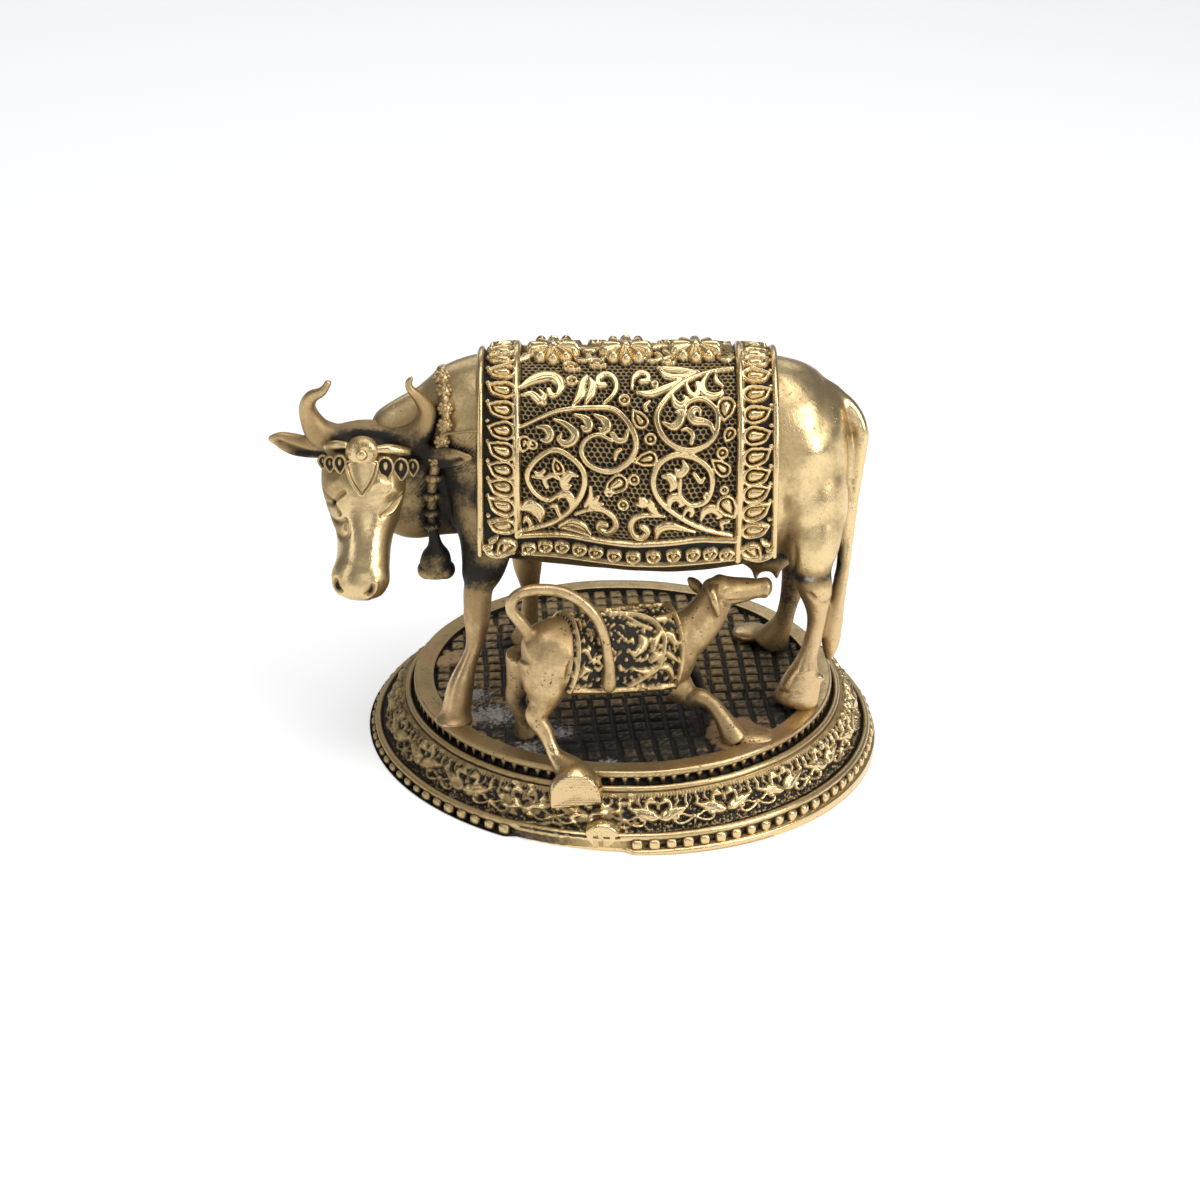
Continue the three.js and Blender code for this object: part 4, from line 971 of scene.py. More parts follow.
COW_LEGS = [
    [(-27.5, -7.5, 40.0, 6.0, 5.4), (-27.4, -10.0, 33.1, 3.8, 3.6), (-27.9, -12.0, 29.0, 3.1, 3.1),
     (-28.9, -13.2, 25.6, 2.8, 2.9), (-29.2, -15.0, 19.4, 2.6, 2.6), (-29.6, -16.5, 14.9, 1.8, 1.9),
     (-30.8, -17.5, 11.3, 1.75, 1.8), (-32.4, -18.6, 6.5, 2.6, 2.6), (-33.6, -19.6, 0.0, 3.0, 3.2)],
    [(-21.5, 6.5, 34.0, 5.5, 5.5), (-20.5, 9.0, 25.0, 3.6, 3.6), (-20.2, 10.0, 18.2, 2.9, 3.0),
     (-19.8, 10.5, 13.0, 1.9, 1.9), (-19.9, 11.0, 8.0, 1.8, 1.8), (-20.4, 11.6, 4.0, 2.3, 2.5),
     (-21.4, 12.0, 0.0, 3.0, 3.4)],
    [(33.5, -6.5, 43.0, 7.0, 5.0), (34.0, -10.4, 34.0, 5.6, 5.2), (33.9, -12.0, 28.0, 3.9, 4.2),
     (34.9, -12.4, 23.4, 3.2, 3.2), (35.3, -12.5, 18.6, 2.0, 2.3), (34.7, -12.8, 13.6, 1.8, 1.9),
     (33.6, -13.2, 9.6, 2.1, 2.1), (32.8, -13.6, 5.8, 3.6, 2.7), (32.0, -13.8, 2.4, 4.4, 3.2),
     (31.4, -14.0, 0.0, 4.6, 3.4)],
    [(32.5, 7.0, 40.0, 7.0, 7.0), (33.5, 9.0, 26.0, 4.2, 4.6), (33.0, 9.8, 18.0, 3.2, 3.4),
     (31.6, 10.2, 10.5, 2.0, 2.2), (30.6, 10.8, 5.7, 2.1, 2.3), (29.0, 11.6, 2.0, 3.2, 3.0),
     (28.0, 12.2, 0.0, 3.8, 3.2)],
]
SLEEVE = [
    (-27.4, -8.0, 39.0, 6.8, 6.0), (-27.3, -10.2, 33.1, 5.2, 4.6), (-27.8, -12.0, 29.3, 4.4, 4.1),
    (-28.9, -13.1, 25.8, 3.45, 3.5),
]
TAIL = [
    (33.0, 0.0, 59.0, 2.2), (36.0, -0.3, 60.0, 1.9), (39.0, -1.0, 58.4, 1.6), (41.7, -2.0, 55.8, 1.6),
    (43.2, -3.0, 52.0, 1.5), (42.7, -3.6, 46.6, 1.5), (41.8, -4.8, 40.4, 1.5), (41.0, -6.6, 33.6, 1.5),
    (40.3, -8.2, 27.2, 1.5), (39.4, -9.6, 21.4, 1.6), (38.5, -10.0, 15.6, 2.0), (38.3, -10.0, 11.4, 1.9),
    (38.0, -10.0, 7.4, 0.7),
]
SHOULDERS_AND_HIPS = [
    ((-27.5, -7.4, 42), (7.5, 5.4, 10)), ((-24, 6, 40), (7.5, 6, 10)),
    ((33.0, -7.5, 40), (8, 7, 12.5)), ((32.5, 5.5, 39), (8, 7, 12.5)),
]
UDDER = ((26, -1, 27.1), (6, 6, 4))
TEATS = [(24, -3.5), (24, 1.5), (28, -3.5), (28, 1.5)]
TEAT = [(25.5, 1.1), (22.2, 0.75), (21.6, 0.4)]
DEWCLAW = ((36.0, -14.0, 5.9), (1.5, 1.1, 1.0))
FAR_HIND_BRAZE = ((24.7, 15.7, 0.6), (4.4, 4.0, 1.4))
HOOF_BRAZE = ((-33.8, -20.6, 0.4), (4.0, 3.6, 0.9))


def push(points, normals, centre, radius, depth):
    """The skin is raised or sunk by `depth` round a centre"""
    off = np.linalg.norm((points - centre) / radius, axis=1)
    points += normals * (depth * np.exp(-off ** 2 * 2))[:, None]


CREASE_STEPS = 24


def crease(points, normals, path, radius, depth):
    """The skin is cut along a curve"""
    places = smooth_rows(path, np.linspace(0, 1, CREASE_STEPS))
    nearest = np.full(len(points), 1e9)
    for start, end in zip(places[:-1], places[1:]):
        run = end - start
        share = np.clip(((points - start) @ run) / max(run @ run, 1e-9), 0, 1)
        nearest = np.minimum(nearest, np.linalg.norm(points - start - share[:, None] * run, axis=1))
    points -= normals * (depth * np.exp(-(nearest / radius) ** 2))[:, None]


HOOVES_SUNK = 0.9


def keep_over_platform(points):
    """Hooves end in the platform's plate"""
    radius = np.hypot(points[:, 0] + FIGURES_SHIFT, points[:, 1])
    lowest = np.where(radius < PLATFORM_EDGE, -HOOVES_SUNK, NOWHERE)
    points[:, 2] = np.maximum(points[:, 2], lowest)


# Swells and creases of the cow's skin: [centre, radii, height] and [path, radius, depth]
COW_SWELLS = [
    ((34.5, -13.5, 38.0), (7, 4, 9), 0.5),
    ((33.0, -12.0, 52.0), (4, 3, 3), 0.5),
    ((-30.5, -9.0, 50.0), (5, 4, 7), 0.6),
    ((-28.8, -14.8, 24.0), (2.6, 2, 1.6), 0.35),
    ((-29.3, -16.4, 18.3), (2.4, 1.5, 1.6), 0.45),
    ((35.3, -14.0, 25.0), (3, 2.4, 2.5), 0.4),
    ((33.2, -14.8, 8.0), (1.8, 1.6, 1.5), 0.35),
]
COW_CREASES = [
    ([(28.6, -15.0, 44), (29.6, -15.6, 38), (30.4, -14.6, 31), (31.0, -12.8, 27)], 0.7, 0.55),
    ([(40.4, -5.5, 52), (40.6, -6.5, 44), (38.8, -9.5, 34), (37.2, -11, 28)], 0.6, 0.5),
    ([(-33.9, -8.6, 58), (-35.2, -9.4, 50), (-34.6, -9.6, 42), (-32.0, -9.2, 36)], 0.6, 0.4),
    ([(-39.0, -9.4, 52), (-40.2, -9.9, 45), (-39.6, -9.2, 38)], 0.45, 0.3),
    ([(-43.0, -10.6, 51), (-43.6, -11.0, 45), (-42.6, -10.2, 39)], 0.4, 0.25),
    ([(-31.8, -16.9, 4.1), (-32.9, -20.8, 3.6), (-35.4, -18.8, 4.2)], 0.28, 0.35),
    ([(28.4, -15.2, 3.6), (31.0, -16.8, 3.9), (34.0, -15.0, 4.2)], 0.28, 0.35),
    ([(33.5, -15.6, 24.5), (35.6, -15.8, 22.6), (37.6, -13.5, 22.4)], 0.4, 0.35),
]


def cow_body(settings):
    pieces = [
        limb(TRUNK, LEVEL, 144, 16),
        limb(NECK, LEVEL, 112, 16),
        limb(SLEEVE, LENGTHWISE, 48, 14),
        limb(TAIL, LENGTHWISE, 28, 10),
        ball(*UDDER),
        ball(*FAR_HIND_BRAZE),
        ball(*HOOF_BRAZE),
        ball(*DEWCLAW),
    ]
    pieces += [limb(leg, LENGTHWISE, 48, 14) for leg in COW_LEGS]
    pieces += [ball(*swell) for swell in SHOULDERS_AND_HIPS]
    for x, y in TEATS:
        pieces.append(limb([(x, y, *station) for station in TEAT], LENGTHWISE, 12, 4))
    body = melted("cow_body", pieces, settings.cow_grain / MM, 26)
    points = points_of(body)
    normals = normals_of(body)
    for centre, radii, height in COW_SWELLS:
        push(points, normals, np.array(centre), np.array(radii), height)
    for path, radius, depth in COW_CREASES:
        crease(points, normals, path, radius, depth)
    x, y, z = points.T
    rough = 0.03 * waves(x + z * 0.4, z + y * 0.7, 6.1, 2)
    tail = np.exp(-np.maximum(0, 41.0 - x) ** 2) * (1 - step_between(12, 24, z))
    strands = np.sin((x + 0.5 * y) * 4.5)
    points += normals * (rough + 0.12 * tail * strands)[:, None]
    keep_over_platform(points)
    set_points(body, points)
    return body


# Head. The face is carved in the plane of x and z, seen from -Y. Ridges are [widths, height,
# path] and cuts [radius, depth, path].
FACE_LEFT = -59.0
FACE_RIGHT = -41.0
FACE_LOW = 25.0
FACE_HIGH = 54.0
FACE_BACK = -10.5
FACE_GRAIN = 0.1
FACE_RIDGES = [
    ((2.6, 3.8, 2.6), 0.7, [(-46.6, 47.4), (-44.8, 46.2), (-43.4, 44.6)]),
    ((2.2, 3.0, 2.0), 0.5, [(-54.0, 47.6), (-55.6, 46.4), (-56.6, 45.0)]),
    ((0.4, 0.5, 0.4), 0.35, [(-46.3, 41.6), (-44.9, 42.6), (-43.2, 44.6)]),
    ((0.3, 0.4, 0.3), 0.25, [(-46.2, 41.2), (-44.3, 41.4), (-42.8, 43.4)]),
    ((1.2, 1.4, 1.2), 0.25, [(-55.4, 30.4), (-55.2, 28.8), (-54.4, 27.8)]),
    ((1.2, 1.4, 1.2), 0.25, [(-47.6, 30.2), (-47.9, 28.6), (-48.8, 27.6)]),
]
FACE_CUTS = [
    (0.5, 0.6, [(-46.1, 41.4), (-44.8, 42.1), (-43.1, 44.0)]),
    (0.4, 0.55, [(-57.2, 44.6), (-55.6, 43.0), (-54.3, 41.4)]),
    (0.35, 0.5, [(-57.0, 41.8), (-55.6, 43.0), (-54.4, 44.6), (-53.2, 45.8)]),
    (0.4, 0.5, [(-56.9, 39.6), (-55.0, 39.4), (-53.2, 40.6)]),
    (0.5, 0.55, [(-56.4, 37.0), (-54.6, 37.0), (-53.0, 38.2), (-53.1, 40.2)]),
    (0.4, 0.6, [(-54.9, 30.4), (-54.7, 29.4), (-54.0, 28.6)]),
    (0.4, 0.6, [(-47.9, 30.0), (-48.2, 29.0), (-49.0, 28.3)]),
]
LASHES = 7


def face_relief():
    x = np.arange(FACE_LEFT, FACE_RIGHT, FACE_GRAIN)
    z = np.arange(FACE_LOW, FACE_HIGH, FACE_GRAIN)
    relief = Relief(x, z)
    for widths, height, path in FACE_RIDGES:
        relief.swell(path, widths, height)
    for radius, depth, path in FACE_CUTS:
        relief.cut(path, radius, depth)
    for k in range(LASHES):
        top = (-47.5 + 0.42 * k, 47.0 - 0.06 * k)
        relief.cut([top, (top[0] - 0.25, top[1] - 1.2)], 0.14, 0.18)
    return relief


EAR_HOLLOWS = [
    [(-57.6, -9.9, 50.2), (-60.6, -9.6, 50.6), (-63.6, -9.2, 51.5), (-65.6, -8.9, 52.4)],
    [(-41.0, -11.2, 49.8), (-37.6, -12.8, 49.8), (-34.4, -14.6, 50.5), (-31.8, -15.2, 51.4)],
]
POLL = [
    (-57.0, -8.6, 53.6, 2.4, 2.4), (-53.4, -8.0, 53.6, 2.3, 2.3), (-50.2, -7.8, 54.0, 2.2, 2.1),
    (-47.2, -7.8, 53.7, 2.3, 2.1), (-44.1, -8.1, 53.0, 2.5, 2.3), (-41.5, -8.6, 52.8, 2.6, 2.4),
]
POLL_RIDGE = [
    (-55.6, -6.6, 54.7, 0.5), (-52.6, -6.3, 55.4, 0.5), (-50.2, -6.3, 55.8, 0.5),
    (-47.8, -6.3, 55.7, 0.5), (-45.2, -6.4, 55.0, 0.5), (-42.4, -6.8, 54.6, 0.5),
]


def cow_head(settings):
    pieces = [
        limb(HEAD, LENGTHWISE, 112, 20),
        limb(POLL, LEVEL, 40, 12),
        limb(POLL_RIDGE, LEVEL, 12, 8),
    ]
    pieces += [limb(horn, LEVEL, 36, 12) for horn in HORNS]
    pieces += [limb(ear, UPRIGHT, 36, 14) for ear in EARS]
    head = melted("cow_head", pieces, settings.head_grain / MM, 36)
    points = points_of(head)
    normals = normals_of(head)
    relief = face_relief()
    facing = step_between(0.0, 0.45, -normals[:, 1]) * (points[:, 1] < FACE_BACK)
    raised = relief.at(points[:, 0], points[:, 2]) * facing
    points += normals * raised[:, None]
    for hollow in EAR_HOLLOWS:
        crease(points, normals, hollow, 0.8, 0.9)
    rough = 0.01 * waves(points[:, 0], points[:, 2] + points[:, 1], 1.7, 6)
    points += normals * rough[:, None]
    set_points(head, points)
    return head


# Head ornaments: a boss over a pointed leaf, a rolled band and hanging shields
BOSS = ((-49.7, -14.0, 52.8), 3.2)
BOSS_GRAINS = 11
LEAF_TOP = (-49.8, -15.3, 52.0)
LEAF_LENGTH = 6.4
LEAF_WIDTH = 5.8
LEAF_LEAN = 2.5
BAND_ROLL = [
    (-47.2, -14.3, 53.5, 0.7), (-45.0, -13.9, 53.4, 0.95), (-42.8, -12.7, 52.6, 0.95),
    (-41.2, -11.6, 51.9, 0.7),
]
OUTER_ROLL = [(-52.4, -14.2, 54.3, 0.6), (-54.6, -13.3, 54.0, 0.85), (-56.6, -11.8, 53.2, 0.8)]
SHIELDS = [
    (-45.5, -15.0, 50.3, 1.4), (-42.8, -13.3, 49.4, 1.35), (-40.7, -11.8, 49.0, 1.0),
    (-53.9, -15.0, 51.1, 1.1), (-55.8, -14.1, 50.7, 0.95), (-57.2, -12.9, 50.6, 0.8),
]


SHIELD_POINT = 0.35


def hanging(centre, width, height, thick):
    """A drop with a rim, an inner boss and a pointed foot, in the plane of x and z"""
    x, y, z = centre
    turns = np.linspace(0, 2 * math.pi, 15)
    rim = []
    for turn in turns:
        foot = max(0, -math.cos(turn)) ** 3
        aside = math.sin(turn) * width / 2 * (1 - 0.35 * foot)
        up = math.cos(turn) * height / 2 * (1 + SHIELD_POINT * foot)
        rim.append((x + aside, y - 0.25 * thick * math.cos(turn), z + up, thick))
    plate = ball((x, y + thick * 0.6, z), (width / 2, thick * 0.8, height / 2), "plate", 18, 12)
    set_layer(plate, "shadow", np.ones(len(plate.data.vertices)))
    middle = (x, y - thick * 0.1, z + 0.05 * height)
    inner = ball(middle, (width * 0.16, thick * 1.1, height * 0.22), "inner", 14, 10)
    return [limb(rim, LEVEL, 10, 2), plate, inner]


def leaf_half(down):
    """Half the leaf's width at a share of its length: full at the top, pointed at the foot"""
    return LEAF_WIDTH / 2 * min(1, 3.2 * math.sqrt(down)) * (1 - down ** 2.3)


def pointed_leaf():
    """The leaf under the boss: a rolled rim round a body that is full at the top"""
    x, y, z = LEAF_TOP
    rim = []
    for hand, shares in ((-1, np.linspace(0, 1, 12)), (1, np.linspace(0.94, 0, 11))):
        for down in shares:
            half = leaf_half(down)
            rim.append((x + hand * half, y - LEAF_LEAN * down + 0.12 * half, z - LEAF_LENGTH * down, 0.33))
    body = []
    for down in np.linspace(0, 0.97, 9):
        half = max(leaf_half(down) - 0.2, 0.1)
        body.append((x, y + 0.45 - LEAF_LEAN * down, z - LEAF_LENGTH * down, half, 0.85 - 0.4 * down))
    return [limb(rim, LEVEL, 10, 1), limb(body, LENGTHWISE, 20, 4)]


def headdress():
    centre, radius = BOSS
    x, y, z = centre
    pieces = [
        ball(centre, (radius, radius * 0.66, radius), "boss", 32, 20),
        ball((x, y - radius * 0.6, z + 0.3), (1.15, 0.9, 1.15), "knob", 20, 14),
        limb(BAND_ROLL, UPRIGHT, 14, 6),
        limb(OUTER_ROLL, UPRIGHT, 14, 6),
    ]
    for turn in np.radians(np.linspace(-15, 175, BOSS_GRAINS)):
        place = (x + 2.3 * math.cos(turn), y - radius * 0.46, z + 2.3 * math.sin(turn))
        pieces.append(ball(place, (0.3, 0.3, 0.3), "grain", 10, 8))
    for *place, half in SHIELDS:
        pieces += hanging(place, 2 * half, 2.8 * half, 0.26)
    pieces += pointed_leaf()
    return joined("headdress", pieces)


# Garland: lumpy beads from the crest of the neck to the bell at the throat
GARLAND = [
    (-35.5, -2.8, 64.1, 1.9), (-34.8, -7.2, 62.2, 1.7), (-34.4, -10.2, 58.9, 1.6),
    (-34.9, -11.3, 54.6, 1.6), (-36.4, -11.1, 49.5, 1.7), (-37.3, -10.7, 44.0, 1.8),
    (-37.5, -10.5, 39.0, 1.7), (-37.5, -10.6, 35.2, 1.5),
]
GARLAND_BEADS = 10
ROSETTES_FROM = 50
GARLAND_MIDDLE = -2.8
FAR_GARLAND_REACH = 1.18
BELL = [
    (-37.4, -10.7, 36.6, 0.8), (-37.0, -11.0, 33.0, 1.3), (-36.9, -11.0, 30.8, 2.6),
    (-37.0, -11.0, 28.4, 3.1), (-37.1, -11.0, 26.9, 3.2), (-37.1, -11.0, 26.5, 2.0),
]
BELL_LOBES = [((-38.6, -11.2, 27.6), (1.9, 2.6, 1.7)), ((-35.2, -11.2, 27.6), (1.9, 2.6, 1.7))]
WIRE = [
    (-35.6, -11.6, 55.4, 0.28), (-33.4, -12.6, 56.0, 0.24), (-30.6, -13.2, 56.6, 0.24),
    (-28.4, -13.8, 57.0, 0.26),
]
SEEDS = 8


def rosette_bead(centre, radius, outward):
    """A bead ringed by small grains round a middle grain"""
    across, up, out = frame_of(outward)
    pieces = [ball(centre, (radius * 0.85,) * 3, "bead", 16, 12)]
    pieces.append(ball(centre + out * radius * 0.75, (radius * 0.34,) * 3, "grain", 10, 8))
    for turn in 2 * math.pi * np.arange(SEEDS) / SEEDS:
        aside = across * math.cos(turn) + up * math.sin(turn)
        place = centre + out * radius * 0.4 + aside * radius * 0.68
        pieces.append(ball(place, (radius * 0.3,) * 3, "grain", 10, 8))
    return pieces


def disc_bead(centre, radius):
    """A flat bead with a grain in front"""
    front = centre - np.array((0, radius * 0.7, 0))
    return [
        ball(centre, (radius, radius, radius * 0.62), "disc", 20, 12),
        ball(front, (radius * 0.5,) * 3, "grain", 12, 8),
    ]


def bead_places(stations):
    return smooth_rows(stations, (np.arange(GARLAND_BEADS) + 0.5) / GARLAND_BEADS)


def cord(stations, share):
    """The string under the beads, its radius a share of theirs"""
    return limb([(x, y, z, radius * share) for x, y, z, radius in stations], LEVEL, 14, 6)


def garland():
    pieces = [limb(BELL, LENGTHWISE, 28, 6), limb(WIRE, UPRIGHT, 8, 5)]
    pieces += [ball(*lobe) for lobe in BELL_LOBES]
    pieces.append(cord(GARLAND, 0.55))
    for *centre, radius in bead_places(GARLAND):
        centre = np.array(centre)
        if centre[2] > ROSETTES_FROM:
            rising = 0.15 + 0.9 * (centre[1] > -9)
            pieces += rosette_bead(centre, radius, unit(np.array([-0.1, -0.9, rising])))
        else:
            pieces += disc_bead(centre, radius)
    far = [(x, GARLAND_MIDDLE + FAR_GARLAND_REACH * (GARLAND_MIDDLE - y), z, radius * 0.8)
           for x, y, z, radius in GARLAND]
    pieces.append(cord(far, 0.6))
    for *centre, radius in bead_places(far):
        pieces.append(ball(centre, (radius,) * 3, "disc", 16, 10))
    return joined("garland", pieces)


# Calf
CALF_SIDE = (0.454, -0.891, 0)
CALF_TRUNK = [
    (-19.8, -33.4, 19.5, 1.5, 2.0), (-18.6, -32.9, 19.6, 4.4, 5.2), (-15.5, -31.3, 19.4, 5.9, 7.2),
    (-10.0, -28.6, 18.2, 6.2, 7.6), (-2.0, -24.8, 16.8, 6.3, 7.9), (5.0, -21.4, 15.6, 6.2, 8.0),
    (9.5, -19.2, 15.0, 5.2, 6.8), (11.5, -18.3, 14.6, 2.6, 3.6),
]
CALF_NECK = [
    (7.6, -21.0, 16.5, 4.7), (11.0, -19.5, 18.5, 4.3), (13.8, -17.8, 21.2, 3.8), (15.8, -16.5, 24.1, 3.2),
]
CALF_HEAD = [
    (13.7, -16.5, 26.4, 1.7), (15.8, -16.0, 25.4, 3.2), (18.5, -15.0, 24.9, 2.8),
    (21.4, -14.2, 24.8, 2.3), (23.9, -13.6, 24.8, 1.9), (25.4, -13.2, 24.7, 2.0), (26.4, -13.0, 24.5, 1.1),
]
CALF_EARS = [
    [(15.2, -17.4, 26.4, 1.2), (15.0, -19.8, 27.0, 0.9), (15.3, -20.6, 25.7, 0.95),
     (15.9, -21.0, 24.1, 0.7), (16.1, -21.2, 22.5, 0.3)],
    [(14.8, -15.0, 24.6, 1.3), (13.5, -13.6, 24.0, 0.9), (12.2, -12.3, 24.7, 1.2),
     (11.3, -11.7, 25.4, 0.9), (10.7, -11.3, 26.0, 0.3)],
]
CALF_LEGS = [
    [(-16.1, -32.0, 19.1, 5.0), (-16.1, -33.5, 13.6, 3.9), (-16.8, -34.5, 10.8, 2.4),
     (-17.8, -35.0, 9.0, 2.0), (-16.1, -36.0, 6.2, 1.6), (-15.0, -37.0, 3.8, 1.3),
     (-13.9, -38.0, 2.0, 1.7), (-11.5, -40.0, 0.2, 3.1), (-10.6, -42.2, -1.6, 4.9, 4.4),
     (-10.2, -44.0, -4.9, 4.8, 4.2)],
    [(-19.8, -28.0, 18.0, 3.7), (-21.0, -27.5, 11.9, 2.4), (-21.7, -27.0, 8.7, 1.9),
     (-20.8, -26.5, 5.2, 1.5), (-20.3, -26.0, 2.8, 1.7), (-20.0, -25.6, 0.0, 2.3)],
    [(8.4, -21.5, 8.3, 3.4), (11.0, -22.5, 6.5, 2.1), (13.2, -24.0, 6.9, 1.7),
     (15.3, -25.0, 5.9, 1.5), (17.0, -26.5, 4.1, 1.7), (19.0, -28.0, 1.1, 2.4),
     (19.8, -28.4, 0.0, 2.5)],
    [(8.0, -17.4, 14.6, 3.0), (10.0, -15.4, 11.0, 2.0), (12.0, -14.5, 7.2, 1.3),
     (13.6, -14.0, 3.2, 1.2), (15.0, -13.5, 0.0, 1.5)],
]
CALF_TAIL = [
    (-18.6, -32.5, 24.3, 1.3), (-20.5, -33.0, 27.4, 1.2), (-22.1, -33.2, 30.3, 1.1),
    (-21.0, -33.0, 32.8, 1.1), (-17.7, -32.6, 33.7, 1.1), (-13.9, -32.4, 33.4, 1.1),
    (-10.3, -32.6, 32.0, 1.1), (-7.4, -33.0, 29.4, 1.1), (-5.6, -33.2, 25.8, 1.0),
    (-4.7, -33.4, 21.8, 1.0), (-4.3, -33.6, 18.2, 1.1), (-4.3, -33.8, 15.4, 1.35),
    (-4.3, -33.8, 13.9, 1.1), (-4.3, -33.8, 13.4, 0.5),
]
HOOF_FACE = -44.9
CALF_BRAZE = ((22.2, -27.2, 0), (5.0, 3.0, 1.6))
CALF_CREASES = [
    ([(16.4, -19.0, 25.4), (18.6, -18.0, 24.2), (21.8, -16.6, 23.6), (25.0, -15.2, 23.6)], 0.3, 0.3),
    ([(17.0, -18.8, 26.3), (18.0, -18.4, 26.7), (19.2, -17.8, 26.4)], 0.28, 0.35),
    ([(11.4, -23.5, 12.0), (10.2, -24.8, 15.5), (9.6, -24.0, 19.5)], 0.5, 0.4),
    ([(-11.6, -35.8, 20.0), (-12.2, -37.0, 15.0), (-13.6, -37.2, 11.2)], 0.5, 0.45),
]


def calf_body(settings):
    pieces = [
        limb(CALF_TRUNK, CALF_SIDE, 96, 14),
        limb(CALF_NECK, CALF_SIDE, 64, 14),
        limb(CALF_HEAD, CALF_SIDE, 64, 14),
        limb(CALF_TAIL, CALF_SIDE, 18, 6),
        ball(*CALF_BRAZE),
    ]
    pieces += [limb(ear, CALF_SIDE, 16, 6) for ear in CALF_EARS]
    pieces += [limb(leg, LENGTHWISE, 40, 12) for leg in CALF_LEGS]
    body = melted("calf_body", pieces, settings.calf_grain / MM, 8)
    points = points_of(body)
    normals = normals_of(body)
    for path, radius, depth in CALF_CREASES:
        crease(points, normals, path, radius, depth)
    x, y, z = points.T
    rough = 0.04 * waves(x - y, z + y * 0.6, 4.3, 4)
    points += normals * rough[:, None]
    keep_over_platform(points)
    keep_over_rim(points)
    set_points(body, points)
    return body


def keep_over_rim(points):
    """The hoof that hangs over the rim is flat in front"""
    strokes = 0.06 * np.sin(points[:, 2] * 11)
    over = (points[:, 1] < -41) & (points[:, 2] < 2)
    flat = np.maximum(points[:, 1], HOOF_FACE + strokes)
    points[:, 1] = np.where(over, flat, points[:, 1])


# Cloth. Places on it are shares: `along` from the front edge to the rear edge, and `down` from
# the spine to the hem of the near side.
CLOTH_FRONT = -29.0
CLOTH_REAR = 27.1
CLOTH_LENGTH = CLOTH_REAR - CLOTH_FRONT
CLOTH_DROP = 51.9
HEM_ANGLE = 2.38
SHARES = np.array((CLOTH_LENGTH, CLOTH_DROP))
NEAR_TOP = -0.115
CLOTH_FOOT = 1.015
CLOTH_SUNK = 1.2

# The pitted field in millimetres from the front edge and the spine, its pits' walls and the
# lowest that the carving goes
FIELD_FRONT = 8.2
FIELD_REAR = 48.3
FIELD_FOOT = 44
PIT_WALL = 0.22
DEEPEST = -0.6

# Rails: width, height, path
RAIL_PATHS = [
    (1.5, 1.0, [(0.015, -0.2), (0.015, 0.5), (0.013, 0.995)]),
    (1.6, 1.1, [(0.136, -0.2), (0.136, 0.4), (0.138, 0.865)]),
    (1.6, 1.1, [(0.872, -0.2), (0.872, 0.4), (0.868, 0.985)]),
    (1.5, 1.0, [(0.988, -0.2), (0.988, 0.5), (0.99, 0.995)]),
    (1.5, 1.05, [(0.138, 0.865), (0.212, 0.850), (0.297, 0.835), (0.375, 0.845), (0.448, 0.855),
                 (0.515, 0.858), (0.583, 0.848), (0.672, 0.835), (0.742, 0.830), (0.815, 0.848),
                 (0.863, 0.863)]),
]
HEM_EDGE = (0.9, 0.75, [(0.155, 0.978), (0.3, 0.972), (0.5, 0.982), (0.7, 0.97), (0.86, 0.978)])

# Petals of the two end borders: [head, tail, rise], at these levels
PETAL_STEPS = (0.04, 0.11, 0.19, 0.28, 0.365, 0.445, 0.525, 0.595, 0.66, 0.735, 0.815)
PETALS = [(0.100, 0.042, 0.020), (0.912, 0.970, 0.015)]
HEM_DROPS = [
    (0.175, 0.938), (0.230, 0.918), (0.285, 0.910), (0.343, 0.915), (0.397, 0.922), (0.458, 0.932),
    (0.521, 0.934), (0.588, 0.922), (0.655, 0.912), (0.720, 0.915), (0.777, 0.920), (0.830, 0.938),
]

# Stems: widths, height, path
STEMS = [
    ((0.9, 1.5, 1.6, 1.3, 0.9), 1.0, [
        (0.151, 0.425), (0.272, 0.355), (0.397, 0.335), (0.465, 0.345), (0.517, 0.415), (0.528, 0.475),
        (0.501, 0.53), (0.439, 0.565), (0.376, 0.545), (0.350, 0.5), (0.366, 0.455), (0.407, 0.435),
        (0.449, 0.455)]),
    ((0.9, 1.5, 1.5, 1.3, 0.9), 1.0, [
        (0.146, 0.835), (0.251, 0.785), (0.324, 0.705), (0.360, 0.615), (0.345, 0.55), (0.272, 0.5),
        (0.209, 0.535), (0.172, 0.6), (0.193, 0.66), (0.240, 0.69), (0.272, 0.665)]),
    ((0.9, 1.5, 1.6, 1.3, 0.9), 1.0, [
        (0.846, 0.155), (0.768, 0.175), (0.684, 0.225), (0.616, 0.31), (0.595, 0.37), (0.616, 0.435),
        (0.663, 0.475), (0.716, 0.485), (0.768, 0.46), (0.794, 0.41), (0.789, 0.34), (0.742, 0.295),
        (0.695, 0.315), (0.684, 0.36)]),
    ((0.9, 1.5, 1.6, 1.3, 0.9), 1.0, [
        (0.846, 0.825), (0.752, 0.78), (0.669, 0.72), (0.611, 0.665), (0.585, 0.6), (0.601, 0.535),
        (0.653, 0.5), (0.716, 0.51), (0.768, 0.555), (0.778, 0.615), (0.757, 0.67), (0.710, 0.68),
        (0.674, 0.64), (0.674, 0.59)]),
]

